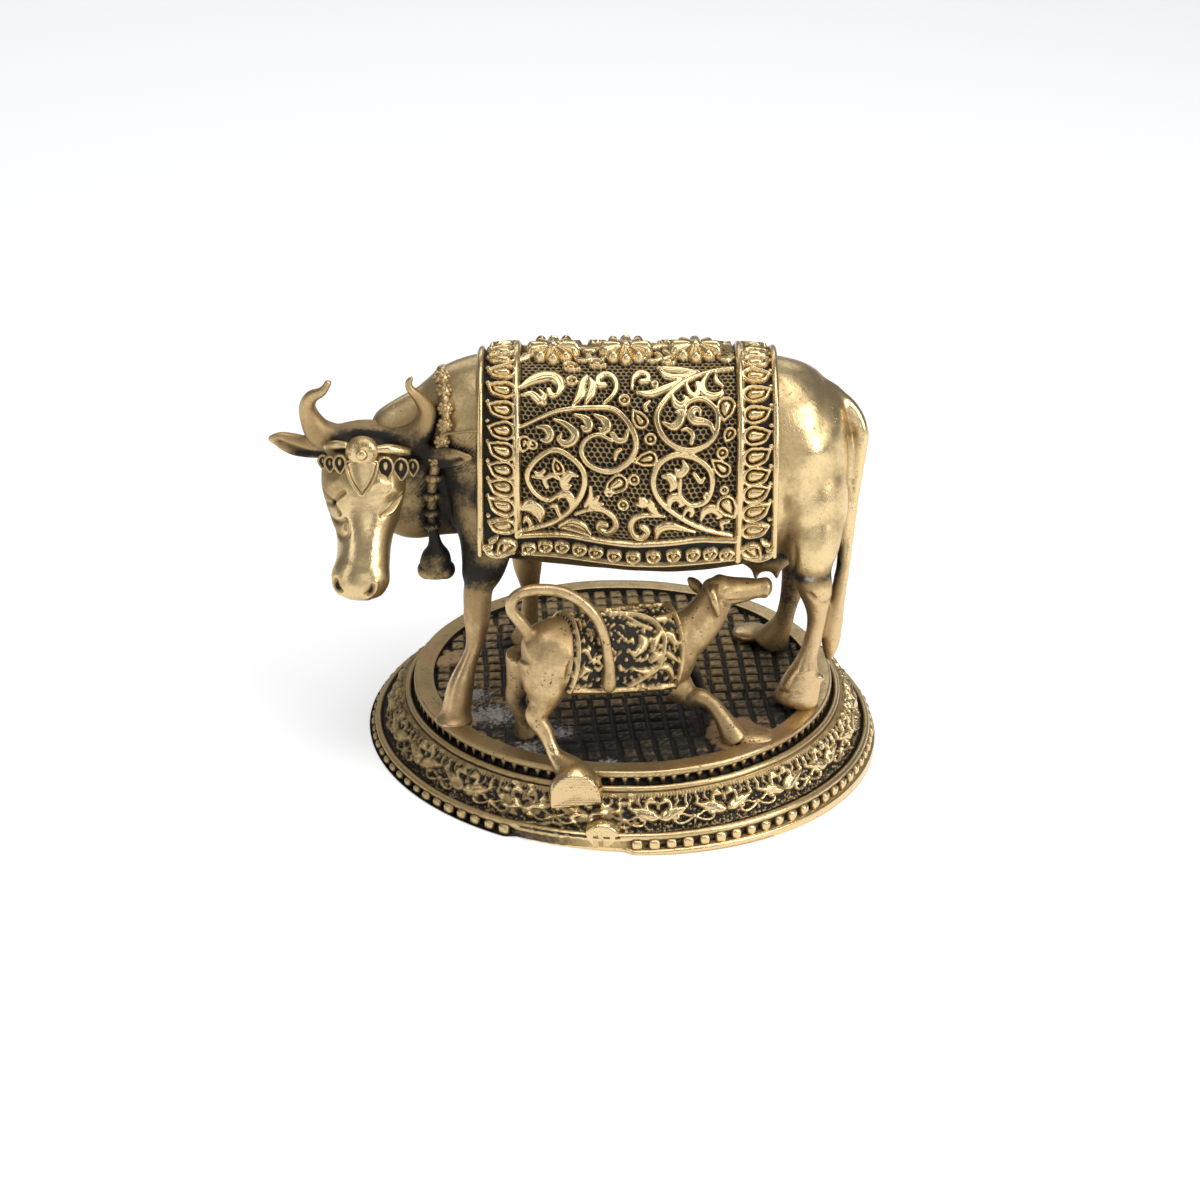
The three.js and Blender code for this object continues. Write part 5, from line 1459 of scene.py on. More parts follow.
# Leaves and curls of the vine: widths and path
WIDE = (0.9, 3.1, 2.8, 0.8)
LEAF = (0.6, 2.0, 1.8, 0.5)
CURL = (0.7, 1.3, 1.4, 1.4)
TWIG = (0.6, 1.15, 0.9)
LEAVES = [
    (WIDE, [(0.152, 0.263), (0.185, 0.228), (0.230, 0.203), (0.265, 0.210), (0.282, 0.250),
            (0.270, 0.290)]),
    (CURL, [(0.270, 0.290), (0.252, 0.292), (0.243, 0.270)]),
    (LEAF, [(0.155, 0.297), (0.185, 0.288), (0.205, 0.307), (0.217, 0.320), (0.228, 0.297),
            (0.212, 0.270)]),
    (LEAF, [(0.320, 0.333), (0.345, 0.285), (0.355, 0.230), (0.368, 0.193)]),
    (LEAF, [(0.363, 0.320), (0.380, 0.278), (0.387, 0.240), (0.375, 0.203)]),
    (CURL, [(0.422, 0.318), (0.453, 0.280), (0.465, 0.237), (0.450, 0.195), (0.425, 0.185),
            (0.405, 0.208), (0.407, 0.237), (0.425, 0.237)]),
    (LEAF, [(0.205, 0.420), (0.235, 0.422), (0.248, 0.443), (0.238, 0.468), (0.217, 0.468)]),
    (LEAF, [(0.260, 0.388), (0.297, 0.402), (0.328, 0.432), (0.323, 0.460), (0.297, 0.475),
            (0.277, 0.460), (0.285, 0.440)]),
    (LEAF, [(0.328, 0.365), (0.363, 0.378), (0.375, 0.400), (0.365, 0.420), (0.350, 0.407)]),
    (LEAF, [(0.392, 0.362), (0.422, 0.378), (0.435, 0.400), (0.422, 0.422), (0.407, 0.410)]),
    (CURL, [(0.500, 0.415), (0.492, 0.448), (0.468, 0.453), (0.453, 0.432)]),
    (TWIG, [(0.460, 0.522), (0.465, 0.495), (0.478, 0.485)]),
    (CURL, [(0.515, 0.250), (0.520, 0.205), (0.540, 0.177), (0.565, 0.188), (0.568, 0.215),
            (0.547, 0.220)]),
    (LEAF, [(0.738, 0.175), (0.670, 0.163), (0.627, 0.158), (0.598, 0.148)]),
    (LEAF, [(0.723, 0.182), (0.670, 0.200), (0.630, 0.193), (0.605, 0.165)]),
    (LEAF, [(0.672, 0.215), (0.625, 0.250), (0.573, 0.273), (0.530, 0.268)]),
    (TWIG, [(0.573, 0.305), (0.557, 0.323), (0.562, 0.340)]),
    (CURL, [(0.693, 0.220), (0.700, 0.260), (0.718, 0.283), (0.733, 0.260), (0.730, 0.230)]),
    (LEAF, [(0.765, 0.182), (0.747, 0.230), (0.752, 0.270), (0.782, 0.285), (0.807, 0.275),
            (0.810, 0.258)]),
    (TWIG, [(0.790, 0.182), (0.792, 0.215), (0.810, 0.240)]),
    (LEAF, [(0.647, 0.278), (0.657, 0.310), (0.677, 0.323), (0.695, 0.300), (0.682, 0.283)]),
    (LEAF, [(0.780, 0.425), (0.770, 0.395), (0.745, 0.383), (0.720, 0.378), (0.708, 0.358),
            (0.718, 0.335), (0.735, 0.340), (0.738, 0.358)]),
    (LEAF, [(0.617, 0.385), (0.647, 0.400), (0.670, 0.380), (0.675, 0.348), (0.657, 0.345)]),
    (TWIG, [(0.677, 0.412), (0.695, 0.410), (0.713, 0.430), (0.708, 0.460)]),
    (TWIG, [(0.190, 0.605), (0.233, 0.605), (0.255, 0.593), (0.277, 0.603)]),
    (TWIG, [(0.233, 0.605), (0.230, 0.620), (0.238, 0.640)]),
    (TWIG, [(0.198, 0.588), (0.212, 0.595), (0.228, 0.580)]),
    (LEAF, [(0.338, 0.588), (0.312, 0.585), (0.292, 0.615), (0.300, 0.635), (0.315, 0.623)]),
    (LEAF, [(0.315, 0.728), (0.318, 0.685), (0.305, 0.662), (0.282, 0.665), (0.275, 0.682)]),
    (TWIG, [(0.250, 0.713), (0.265, 0.710), (0.277, 0.745)]),
    (WIDE, [(0.155, 0.735), (0.182, 0.723), (0.208, 0.743), (0.215, 0.780)]),
    (TWIG, [(0.160, 0.790), (0.168, 0.773), (0.180, 0.790), (0.182, 0.810)]),
    (LEAF, [(0.277, 0.790), (0.318, 0.773), (0.355, 0.787), (0.380, 0.815)]),
    (TWIG, [(0.277, 0.795), (0.325, 0.808), (0.375, 0.824)]),
    (CURL, [(0.330, 0.735), (0.375, 0.713), (0.417, 0.708), (0.455, 0.735), (0.463, 0.775),
            (0.440, 0.805), (0.410, 0.792), (0.412, 0.768), (0.430, 0.770)]),
    (LEAF, [(0.405, 0.660), (0.385, 0.693), (0.420, 0.685)]),
    (TWIG, [(0.380, 0.625), (0.380, 0.662), (0.363, 0.698)]),
    (LEAF, [(0.657, 0.550), (0.672, 0.565), (0.690, 0.547), (0.682, 0.520)]),
    (LEAF, [(0.615, 0.575), (0.640, 0.578), (0.652, 0.605), (0.640, 0.625)]),
    (TWIG, [(0.752, 0.583), (0.740, 0.598), (0.723, 0.573), (0.718, 0.568)]),
    (LEAF, [(0.637, 0.693), (0.642, 0.657), (0.665, 0.650), (0.682, 0.670), (0.670, 0.682)]),
    (TWIG, [(0.685, 0.718), (0.698, 0.693), (0.715, 0.705), (0.710, 0.720)]),
    (LEAF, [(0.742, 0.743), (0.755, 0.710), (0.782, 0.703), (0.807, 0.728), (0.795, 0.740)]),
    (TWIG, [(0.815, 0.792), (0.812, 0.765), (0.833, 0.760)]),
    (LEAF, [(0.595, 0.820), (0.608, 0.775), (0.650, 0.763), (0.725, 0.790)]),
    (CURL, [(0.622, 0.720), (0.562, 0.720), (0.527, 0.733), (0.512, 0.770), (0.525, 0.812),
            (0.552, 0.818), (0.568, 0.787), (0.550, 0.768)]),
    (LEAF, [(0.575, 0.662), (0.580, 0.690), (0.605, 0.715)]),
    (LEAF, [(0.540, 0.655), (0.555, 0.675), (0.530, 0.680)]),
]

# Drops of the field: head, tail and width
DROPS = [
    ((0.823, 0.325), (0.815, 0.385), 2.7), ((0.545, 0.383), (0.517, 0.340), 2.2),
    ((0.275, 0.568), (0.262, 0.530), 1.8), ((0.473, 0.603), (0.425, 0.638), 2.6),
    ((0.573, 0.513), (0.522, 0.527), 2.2), ((0.825, 0.688), (0.853, 0.745), 2.7),
    ((0.815, 0.560), (0.775, 0.522), 2.2), ((0.310, 0.150), (0.345, 0.165), 2.0),
    ((0.835, 0.430), (0.820, 0.460), 1.8), ((0.165, 0.480), (0.158, 0.520), 1.9),
    ((0.395, 0.130), (0.430, 0.140), 2.0), ((0.640, 0.110), (0.615, 0.120), 1.9),
]
# Rings of the field, [along, down, width], and rosettes and curls along the spine
RINGS = [
    (0.190, 0.488, 1.7), (0.575, 0.445, 1.9), (0.810, 0.500, 1.9), (0.522, 0.588, 1.8),
    (0.487, 0.682, 1.8), (0.818, 0.633, 1.5), (0.490, 0.302, 1.9), (0.318, 0.225, 1.8),
    (0.225, 0.325, 1.2), (0.440, 0.640, 1.4), (0.590, 0.235, 1.3), (0.760, 0.650, 1.2),
]
SPINE_ROSETTES = [(0.256, 0.035), (0.496, 0.03), (0.727, 0.018)]
ROSETTE_LOBES = 10
ROSETTE_LOBE = (4.0, (1.0, 2.5), 1.9)
ROSETTE_HEART = (3.0, 2.4)
SPINE_CURLS = [
    (LEAF, [(0.150, 0.115), (0.175, 0.070), (0.200, 0.060)]),
    (CURL, [(0.325, 0.080), (0.345, 0.110), (0.375, 0.100), (0.372, 0.070)]),
    (CURL, [(0.430, 0.080), (0.410, 0.110), (0.385, 0.095)]),
    (CURL, [(0.555, 0.085), (0.580, 0.110), (0.610, 0.090), (0.600, 0.060)]),
    (LEAF, [(0.660, 0.095), (0.640, 0.060), (0.620, 0.030)]),
    (CURL, [(0.800, 0.080), (0.825, 0.100), (0.845, 0.075)]),
    (LEAF, [(0.340, 0.010), (0.375, 0.030), (0.410, 0.005)]),
    (LEAF, [(0.580, 0.005), (0.610, -0.020), (0.650, 0.000)]),
]

# A corner's paisley in millimetres from its head: a rimmed drop and a tail that curls
PAISLEY_DROP = ((3.9, 3.2, 1.2), [(0.0, 0.0), (-0.5, 1.1), (-1.6, 2.4)])
PAISLEY_TAIL = ((1.2, 1.3, 1.2, 0.8), [(1.0, 2.0), (-1.4, 3.4), (-3.4, 3.0), (-4.0, 1.4), (-3.0, 0.8)])
PAISLEY_LEAF = ((0.4, 1.2, 0.4), [(-3.4, -0.9), (-2.5, -1.4), (-1.8, -2.6)])
PAISLEYS = [((0.104, 0.925), 1), ((0.912, 0.930), -1)]
TRUNK_STEPS = 400


def trunk_rows(x):
    """The trunk's section at every length x"""
    t = np.linspace(0, 1, TRUNK_STEPS)
    table = smooth_rows(full(TRUNK), t)
    return smooth_rows(full(TRUNK), np.interp(x, table[:, 0], t))


# Below this angle the cloth hangs straight, and the stiff corners, [place, reach, distance],
# stand off the legs
HANG_ANGLE = 1.95
HANG_DROP = 0.72
HANG_INWARDS = 0.30
CORNERS = [(-0.05, 0.30, 3.2), (1.05, 0.20, 2.0)]


def on_cloth(along, down, lift):
    """Points at a height over the trunk. `down` is below 0 on the far side."""
    x = CLOTH_FRONT + CLOTH_LENGTH * along
    row = trunk_rows(x)
    angle = np.abs(HEM_ANGLE * down)
    bent = np.minimum(angle, HANG_ANGLE)
    hung = angle - bent
    across = row[:, 3] + lift
    deep = row[:, 4] + lift
    out = across * (np.sin(bent) + HANG_INWARDS * math.cos(HANG_ANGLE) * hung)
    for middle, reach, push_out in CORNERS:
        near = 1 - step_between(0, reach, np.abs(along - middle))
        out += push_out * near * step_between(0.62, 0.92, np.abs(down))
    height = deep * (np.cos(bent) - HANG_DROP * math.sin(HANG_ANGLE) * hung)
    return np.stack([x, row[:, 1] - np.sign(down + 1e-12) * out, row[:, 2] + height], 1)


def spaced(places):
    """Shares of the cloth as millimetres"""
    return np.array(places) * SHARES


def teardrop(relief, head, tail, width, height=0.95, rim=0.55, kernel=0.85, bend=0.0):
    """A rimmed drop with a raised kernel. Its tail may bend aside by a share of its length."""
    head, tail = spaced((head, tail))
    run = tail - head
    aside = np.array((run[1], -run[0])) * bend
    outline = [head, head + run * 0.35 + aside * 0.3, tail]
    relief.boss(outline, (width, width * 0.86, 0.5), rim, height, kernel, 0.28)


def cloth_vine(relief, plain):
    """Stems, leaves, drops and rings of the field, with every other leaf if it is plain"""
    for widths, height, path in STEMS:
        relief.band(spaced(path), np.array(widths) * 0.86, height, 0.22)
    leaves = LEAVES[::2] if plain else LEAVES + SPINE_CURLS
    for widths, path in leaves:
        relief.band(spaced(path), widths, 0.85, 0.2)
    for head, tail, width in DROPS:
        teardrop(relief, head, tail, 1.35 * width)
    for along, down, width in RINGS:
        relief.boss(spaced([(along, down)]), (1.3 * width, 1.3 * width), 0.6, 0.95, 0.7, 0.2)


def cloth_petals(relief, head, tail, rise):
    """A border of petals from the spine to the corner, with a grain between every two"""
    hand = 1 if tail < head else -1
    for k, down in enumerate(PETAL_STEPS):
        lean = rise * (0.5 + 0.5 * math.sin(2.3 * k))
        teardrop(relief, (head, down), (tail, down - lean - 0.012), 4.1, 1.1, 0.7, 1.0, 0.3 * hand)
        if k:
            between = (down + PETAL_STEPS[k - 1]) / 2 + 0.004
            relief.boss(spaced([(tail, between)]), (0.9, 0.9), 0.45, 0.55, 0, 0)


def paisley(relief, corner, hand):
    def placed(path):
        return spaced(corner) + np.array(path) * (hand, 1)

    widths, path = PAISLEY_DROP
    relief.boss(placed(path), widths, 0.7, 1.2, 1.0, 0.3)
    for widths, path in (PAISLEY_TAIL, PAISLEY_LEAF):
        relief.band(placed(path), widths, 1.15)


def cloth_edges(relief):
    """Rails, petals, the drops along the hem and the corners"""
    for width, height, path in RAIL_PATHS:
        relief.band(spaced(path), (width, width), height)
    for border in PETALS:
        cloth_petals(relief, *border)
    for along, down in HEM_DROPS:
        teardrop(relief, (along, down), (along - 0.012, down + 0.03), 3.0, 1.0, 0.6, 0.9, 0.2)
    width, height, path = HEM_EDGE
    relief.band(spaced(path), (width, width), height)
    for corner, hand in PAISLEYS:
        paisley(relief, corner, hand)


def cloth_rosettes(relief):
    reach, widths, height = ROSETTE_LOBE
    heart_width, heart_height = ROSETTE_HEART
    for heart in spaced(SPINE_ROSETTES):
        for turn in 2 * math.pi * np.arange(ROSETTE_LOBES) / ROSETTE_LOBES:
            tip = heart + reach * np.array((math.sin(turn), math.cos(turn)))
            relief.band([heart + (tip - heart) * 0.35, tip], widths, height)
        relief.band([heart], (heart_width, heart_width), heart_height)


def hem_line(along):
    """The hem lies a little higher between the two end borders"""
    inner = step_between(0.115, 0.15, along) * (1 - step_between(0.86, 0.885, along))
    return 1.006 - 0.018 * inner


def cloth_heights(settings, along, down, plain):
    x, y = along * CLOTH_LENGTH, down * CLOTH_DROP
    relief = Relief(x, y)
    across, drop = np.meshgrid(x, y)
    uneven = 0.35 * waves(across, drop, 7.0, 1)
    pitch = settings.pit_pitch / MM
    pits = honeycomb(across + 0.25 * waves(drop, across, 9.0), drop + 0.25 * uneven, pitch, PIT_WALL)
    in_field = (across > FIELD_FRONT) & (across < FIELD_REAR) & (drop < FIELD_FOOT)
    relief.height -= np.where(in_field, settings.pit_depth / MM * (pits + 0.2 * uneven), 0.25)
    cloth_vine(relief, plain)
    cloth_edges(relief)
    cloth_rosettes(relief)
    return np.maximum(relief.height, DEEPEST)


def carved_sheet(name, lift, at):
    """A closed piece with one vertex for each height of `lift`, carried to at(column, row, height)"""
    rows, columns = lift.shape[0] - 1, lift.shape[1] - 1

    def place(u, v):
        i = np.rint(u * columns).astype(int)
        j = np.rint(v * rows).astype(int)
        return at(i, j, lift[j, i])

    piece = grid(name, columns, rows, place)
    close_edge(piece)
    set_layer(piece, "height", np.clip(lift, -1, 3).ravel())
    return piece


def cloth(settings, name, top, bottom, grain, plain=False):
    """The cloth between two levels, which are below 0 on the far side of the spine"""
    down = np.linspace(top, bottom, int(abs(bottom - top) * CLOTH_DROP / grain) + 1)
    along = np.linspace(0, 1, int(CLOTH_LENGTH / grain) + 1)
    hand = -1 if bottom < 0 else 1
    lift = settings.lift / MM + cloth_heights(settings, along, hand * down, plain)
    lift[np.abs(down)[:, None] > hem_line(along)] = -CLOTH_SUNK
    lift[:, (along < 0.0015) | (along > 0.9985)] = -CLOTH_SUNK
    return carved_sheet(name, lift, lambda i, j, height: on_cloth(along[i], down[j], height))


# Calf's cloth: `along` from its rear edge to its front edge
CALF_CLOTH_LENGTH = 20.0
CALF_CLOTH_DROP = 15.5
CALF_CLOTH = (0.335, 0.765)
CALF_CLOTH_ANGLE = 2.25
CALF_CLOTH_GRAIN = 0.19
CALF_CLOTH_LIFT = 0.45
# Widths, height and path of each band, and [along, down, width] of each stud
CALF_VINES = [
    ((0.6, 0.6), 0.8, [(0.045, 0.0), (0.045, 0.5), (0.05, 0.97)]),
    ((0.75, 0.75), 1.0, [(0.955, 0.0), (0.955, 0.5), (0.95, 0.97)]),
    ((0.7, 0.7), 0.7, [(0.06, 0.95), (0.5, 0.965), (0.94, 0.95)]),
    ((0.5, 0.6, 0.7, 0.6, 0.6, 0.5), 0.9, [
        (0.40, 0.03), (0.58, 0.10), (0.69, 0.20), (0.75, 0.34), (0.77, 0.42), (0.75, 0.54),
        (0.72, 0.69), (0.60, 0.81), (0.52, 0.89)]),
    ((0.5, 1.4, 0.3), 0.85, [(0.70, 0.20), (0.81, 0.175), (0.92, 0.115)]),
    ((0.5, 1.3, 0.9, 0.4), 0.85, [(0.77, 0.36), (0.84, 0.39), (0.87, 0.46), (0.94, 0.47)]),
    ((0.5, 1.0, 0.7), 0.85, [(0.75, 0.34), (0.69, 0.43), (0.66, 0.52)]),
    ((0.5, 0.9, 0.3), 0.8, [(0.76, 0.54), (0.83, 0.59), (0.91, 0.66)]),
    ((0.5, 1.2, 0.3), 0.85, [(0.76, 0.56), (0.69, 0.59), (0.64, 0.64)]),
    ((0.5, 1.1, 0.9, 0.3), 0.85, [(0.73, 0.70), (0.80, 0.71), (0.85, 0.77), (0.89, 0.88)]),
    ((0.5, 1.1, 0.9, 0.3), 0.8, [(0.72, 0.68), (0.67, 0.73), (0.62, 0.74), (0.52, 0.70)]),
    ((0.3, 0.6, 0.5), 0.6, [(0.51, 0.12), (0.58, 0.23), (0.67, 0.30)]),
    ((0.5, 1.3, 1.1, 0.5), 0.6, [(0.57, 0.37), (0.60, 0.42), (0.58, 0.49), (0.52, 0.56)]),
    ((0.3, 0.6, 0.3), 0.5, [(0.86, -0.12), (0.70, -0.03), (0.57, 0.01)]),
    ((0.4, 0.7, 0.4), 0.5, [(0.12, 0.09), (0.11, 0.16), (0.10, 0.24)]),
    ((0.4, 0.7, 0.4), 0.55, [(0.08, 0.49), (0.13, 0.48), (0.17, 0.56)]),
    ((0.4, 1.0, 0.5), 0.6, [(0.09, 0.76), (0.13, 0.69), (0.19, 0.69)]),
    ((0.4, 0.7, 0.3), 0.6, [(0.30, 0.32), (0.27, 0.40), (0.30, 0.43)]),
    ((0.4, 0.8, 0.4), 0.55, [(0.27, 0.54), (0.24, 0.58), (0.26, 0.62)]),
    ((0.4, 0.7, 0.4), 0.5, [(0.17, 0.24), (0.21, 0.30), (0.19, 0.37)]),
    ((0.4, 0.7, 0.4), 0.5, [(0.36, 0.70), (0.32, 0.78), (0.36, 0.86)]),
]
CALF_STUDS = [(0.63, 0.965, 2.1), (0.81, 0.97, 1.2), (0.10, 0.885, 1.0), (0.42, 0.97, 1.2)]


def on_calf(along, down, lift):
    """Points at a height over the calf's trunk, `down` being below 0 on the far side"""
    start, end = CALF_CLOTH
    t = start + (end - start) * along
    rows = smooth_rows(full(CALF_TRUNK), t)
    ahead = smooth_rows(full(CALF_TRUNK), t + TANGENT_STEP)
    tangent = unit(ahead[:, :3] - rows[:, :3])
    side = np.array(CALF_SIDE, float)
    across = unit(side - tangent * (tangent @ side)[:, None])
    up = np.cross(across, tangent)
    up *= np.sign(up[:, 2])[:, None]
    angle = CALF_CLOTH_ANGLE * down
    reach = across * ((rows[:, 3] + lift) * np.sin(angle))[:, None]
    return rows[:, :3] + reach + up * ((rows[:, 4] + lift) * np.cos(angle))[:, None]


def calf_cloth():
    rows = int(2 * CALF_CLOTH_DROP / CALF_CLOTH_GRAIN)
    half = rows // 2
    along = np.linspace(0, 1, int(CALF_CLOTH_LENGTH / CALF_CLOTH_GRAIN) + 1)
    down = np.linspace(-1, 1, rows + 1)
    shares = np.array((CALF_CLOTH_LENGTH, CALF_CLOTH_DROP))
    relief = Relief(along * shares[0], np.linspace(0, 1, half + 1) * shares[1])
    across, drop = np.meshgrid(relief.x, relief.y)
    crumbs = 0.6 * waves(across, drop, 1.2, 7) + 0.6 * waves(drop, across, 1.9, 2)
    relief.height += 0.9 * np.clip(crumbs, 0, 0.7) - 0.25
    for widths, height, path in CALF_VINES:
        relief.band(np.array(path) * shares, np.array(widths) * 1.35, height)
    for *place, width in CALF_STUDS:
        relief.boss([np.array(place) * shares], (width, width), 0.5, 0.85, 0, 0.1)
    lift = CALF_CLOTH_LIFT + relief.height[np.rint(np.abs(down) * half).astype(int)]
    lift[:, (along < 0.004) | (along > 0.996)] = -CLOTH_SUNK
    lift[np.abs(down) > 0.995] = -CLOTH_SUNK
    return carved_sheet("calf_cloth", lift, lambda i, j, height: on_calf(along[i], down[j], height))


# Finish

class Value:
    """An output in a material's nodes, with which sums are written as plain arithmetic"""

    def __init__(self, tree, socket):
        self.tree = tree
        self.socket = socket

    def node(self, kind, inputs, output=0, **settings):
        """Any node, its inputs given by name or by place"""
        made = self.tree.nodes.new(kind)
        for name, value in settings.items():
            setattr(made, name, value)
        for key, value in inputs.items():
            feed(made.inputs[key], value)
        return Value(self.tree, made.outputs[output])

    def math(self, operation, *values, **settings):
        vector = any(isinstance(v, Value) and v.socket.type in ("VECTOR", "RGBA") for v in values)
        kind = "ShaderNodeVectorMath" if vector else "ShaderNodeMath"
        return self.node(kind, dict(enumerate(values)), operation=operation, **settings)

    def __add__(self, other):
        return self.math("ADD", self, other)

    def __sub__(self, other):
        return self.math("SUBTRACT", self, other)

    def __rsub__(self, other):
        return self.math("SUBTRACT", other, self)

    def __mul__(self, other):
        return self.math("MULTIPLY", self, other)

    def __truediv__(self, other):
        return self.math("DIVIDE", self, other)

    def __rtruediv__(self, other):
        return self.math("DIVIDE", other, self)

    def __pow__(self, other):
        return self.math("POWER", self, other)

    def __rpow__(self, other):
        return self.math("POWER", other, self)

    def __neg__(self):
        return self.math("MULTIPLY", self, -1.0)

    __radd__ = __add__
    __rmul__ = __mul__

    def between(self, low, high):
        """0 up to `low`, 1 from `high`, and a smooth rise from one to the other"""
        return self.node("ShaderNodeMapRange", {"Value": self, "From Min": low, "From Max": high},
                         interpolation_type="SMOOTHSTEP")

    def mixed(self, start, end):
        """From one colour to another as this share rises"""
        made = self.tree.nodes.new("ShaderNodeMix")
        made.data_type = "RGBA"
        feed(made.inputs["Factor"], self)
        feed(made.inputs[6], start)
        feed(made.inputs[7], end)
        return Value(self.tree, made.outputs[2])


def feed(socket, value):
    """A socket takes a linked output, a number or a colour"""
    if isinstance(value, Value):
        value.tree.links.new(value.socket, socket)
    elif socket.type == "RGBA":
        socket.default_value = (*value[:3], 1)
    elif socket.type == "VECTOR" and isinstance(value, (int, float)):
        socket.default_value = (value,) * 3
    else:
        socket.default_value = value


def brass(name, settings, pit, spread_of_stain):
    """Antique brass. The vertex layers say where it is polished or painted lighter or darker as shade and
    highlights, where it is copper brown and where dusty, `pit` how deep its pits are and `spread_of_stain`
    how far stains shift the polish."""
    material = bpy.data.materials.new(name)
    material.use_nodes = True
    tree = material.node_tree
    shader = tree.nodes["Principled BSDF"]
    start = Value(tree, None)
    place = start.node("ShaderNodeTexCoord", {}, "Object")

    def noise(scale, detail, roughness=0.55):
        inputs = {"Vector": place, "Scale": scale, "Detail": detail, "Roughness": roughness}
        return start.node("ShaderNodeTexNoise", inputs, "Fac")

    def layer(layer_name):
        return start.node("ShaderNodeAttribute", {}, "Fac", attribute_name=layer_name)

    stain = noise(170, 5, 0.6) * 0.6 + noise(520, 4, 0.65) * 0.4
    fine = noise(1500, 3, 0.6)
    pits = start.node("ShaderNodeTexVoronoi", {"Vector": place, "Scale": 1500.0}, "Distance")
    pitted = (1 - pits.between(0.1, 0.32)) * noise(420, 2).between(0.5, 0.66)
    # The polish layer also carries painted shade and painted highlights, which the patina and polished
    # colours show
    shine = layer("polish") + (stain - 0.5) * spread_of_stain + (fine - 0.5) * 0.34
    shine = shine - pitted * 0.4 * pit
    bright = shine.between(0.56, 1.02)
    mid = shine.between(0.10, 0.55)
    colour = mid.mixed(settings.patina[:], settings.body[:])
    colour = bright.mixed(colour, settings.polish[:])
    brown = layer("copper") * (0.6 + (stain - 0.5) * 1.2)
    browned = start.math("MULTIPLY", brown, mid, use_clamp=True)
    colour = browned.mixed(colour, settings.copper[:])
    dust = (layer("dust") + (fine - 0.5) * 0.7).between(0.45, 0.75)
    colour = dust.mixed(colour, settings.residue[:])
    feed(shader.inputs["Base Color"], colour)
    rough = 0.58 - bright * 0.28 - mid * 0.06 + (fine - 0.5) * 0.15
    feed(shader.inputs["Roughness"], rough)
    feed(shader.inputs["Metallic"], (0.45 + mid * 0.55) * (1 - dust))
    height = (fine - 0.5) * 0.04 + (noise(700, 2) - 0.5) * 0.06 * pit - pitted * 0.09 * pit
    bump = start.node("ShaderNodeBump", {"Height": height * MM, "Strength": 1.0, "Distance": 1.0}, "Normal")
    feed(shader.inputs["Normal"], bump)
    return material


# Openness at which the painted shade of closed-in places neither darkens nor lightens
USUAL_OPENNESS = 0.75


def patina_and_painted_shade(piece, place, base, gain, passes, sky, every):
    """The polish of each vertex: `base`, less `gain` for each millimetre that it lies below its
    surroundings, where dark patina lies, and more by `sky` times its openness over the usual, which paints
    shade where the piece is closed in and light where it is open"""
    below = np.clip(hollows(piece, passes) * gain, -0.5, 1.0)
    return base - below + sky * (openness(piece, place, every) - USUAL_OPENNESS)


def toned(points, tones):
    """How much darker or brighter the patches [middle, reach, amount] make each point"""
    total = np.zeros(len(points))
    for middle, reach, amount in tones:
        total += amount * np.exp(-(((points - middle) / reach) ** 2).sum(1))
    return total


# Dark and bright patches of the figures: middle, reach and how much polish they give. A few are real stains
# and filed spots; most are painted shade where a part is turned from the light or lies under another, and
# painted highlights, such as the bright bands down the nose and the rump's edge.
COW_PATCHES_AND_PAINTED_LIGHT = [
    ((-32.5, -12, 45), (5, 7, 10), -0.42), ((-28.3, -12, 28.2), (8, 8, 2.6), -0.8),
    ((-28.0, -12, 33.5), (7, 7, 5.0), -0.4), ((-31.0, -15, 15), (4, 4, 9), -0.3),
    ((-33.0, -19, 3), (4, 4, 5), -0.15), ((-41.0, -9, 44), (5, 5, 9), -0.3),
    ((-30.0, -3, 60), (5, 5, 5), -0.2), ((32.4, -12, 19), (2.2, 5, 7), -0.35),
    ((30.0, 9, 14), (8, 8, 14), -0.1), ((34.5, -12.5, 27.6), (6, 6, 1.6), -0.8),
    ((31.8, -10, 21), (2.0, 4, 6), -0.45), ((38.6, -9, 30), (1.5, 4, 9), -0.45),
    ((29.8, -15, 38), (1.6, 4, 9), -0.3), ((41.5, -5, 40), (2.4, 6, 24), 0.3),
    ((34.0, -14, 43), (5, 6, 12), 0.1), ((0, 0, 25), (34, 20, 3.5), -0.3),
    ((32.0, -15, 5), (6, 5, 5), 0.18), ((-20.0, 10, 20), (6, 6, 14), -0.15),
    ((32.0, 10, 14), (7, 7, 14), -0.35), ((-31.0, -17.0, 4.5), (4.5, 2.0, 4), 0.1),
    ((38.5, -2, 52), (4, 3, 8), -0.15),
]
COW_DUST = [((33.6, -16.0, 27.8), (1.7, 3, 0.8), 0.85)]
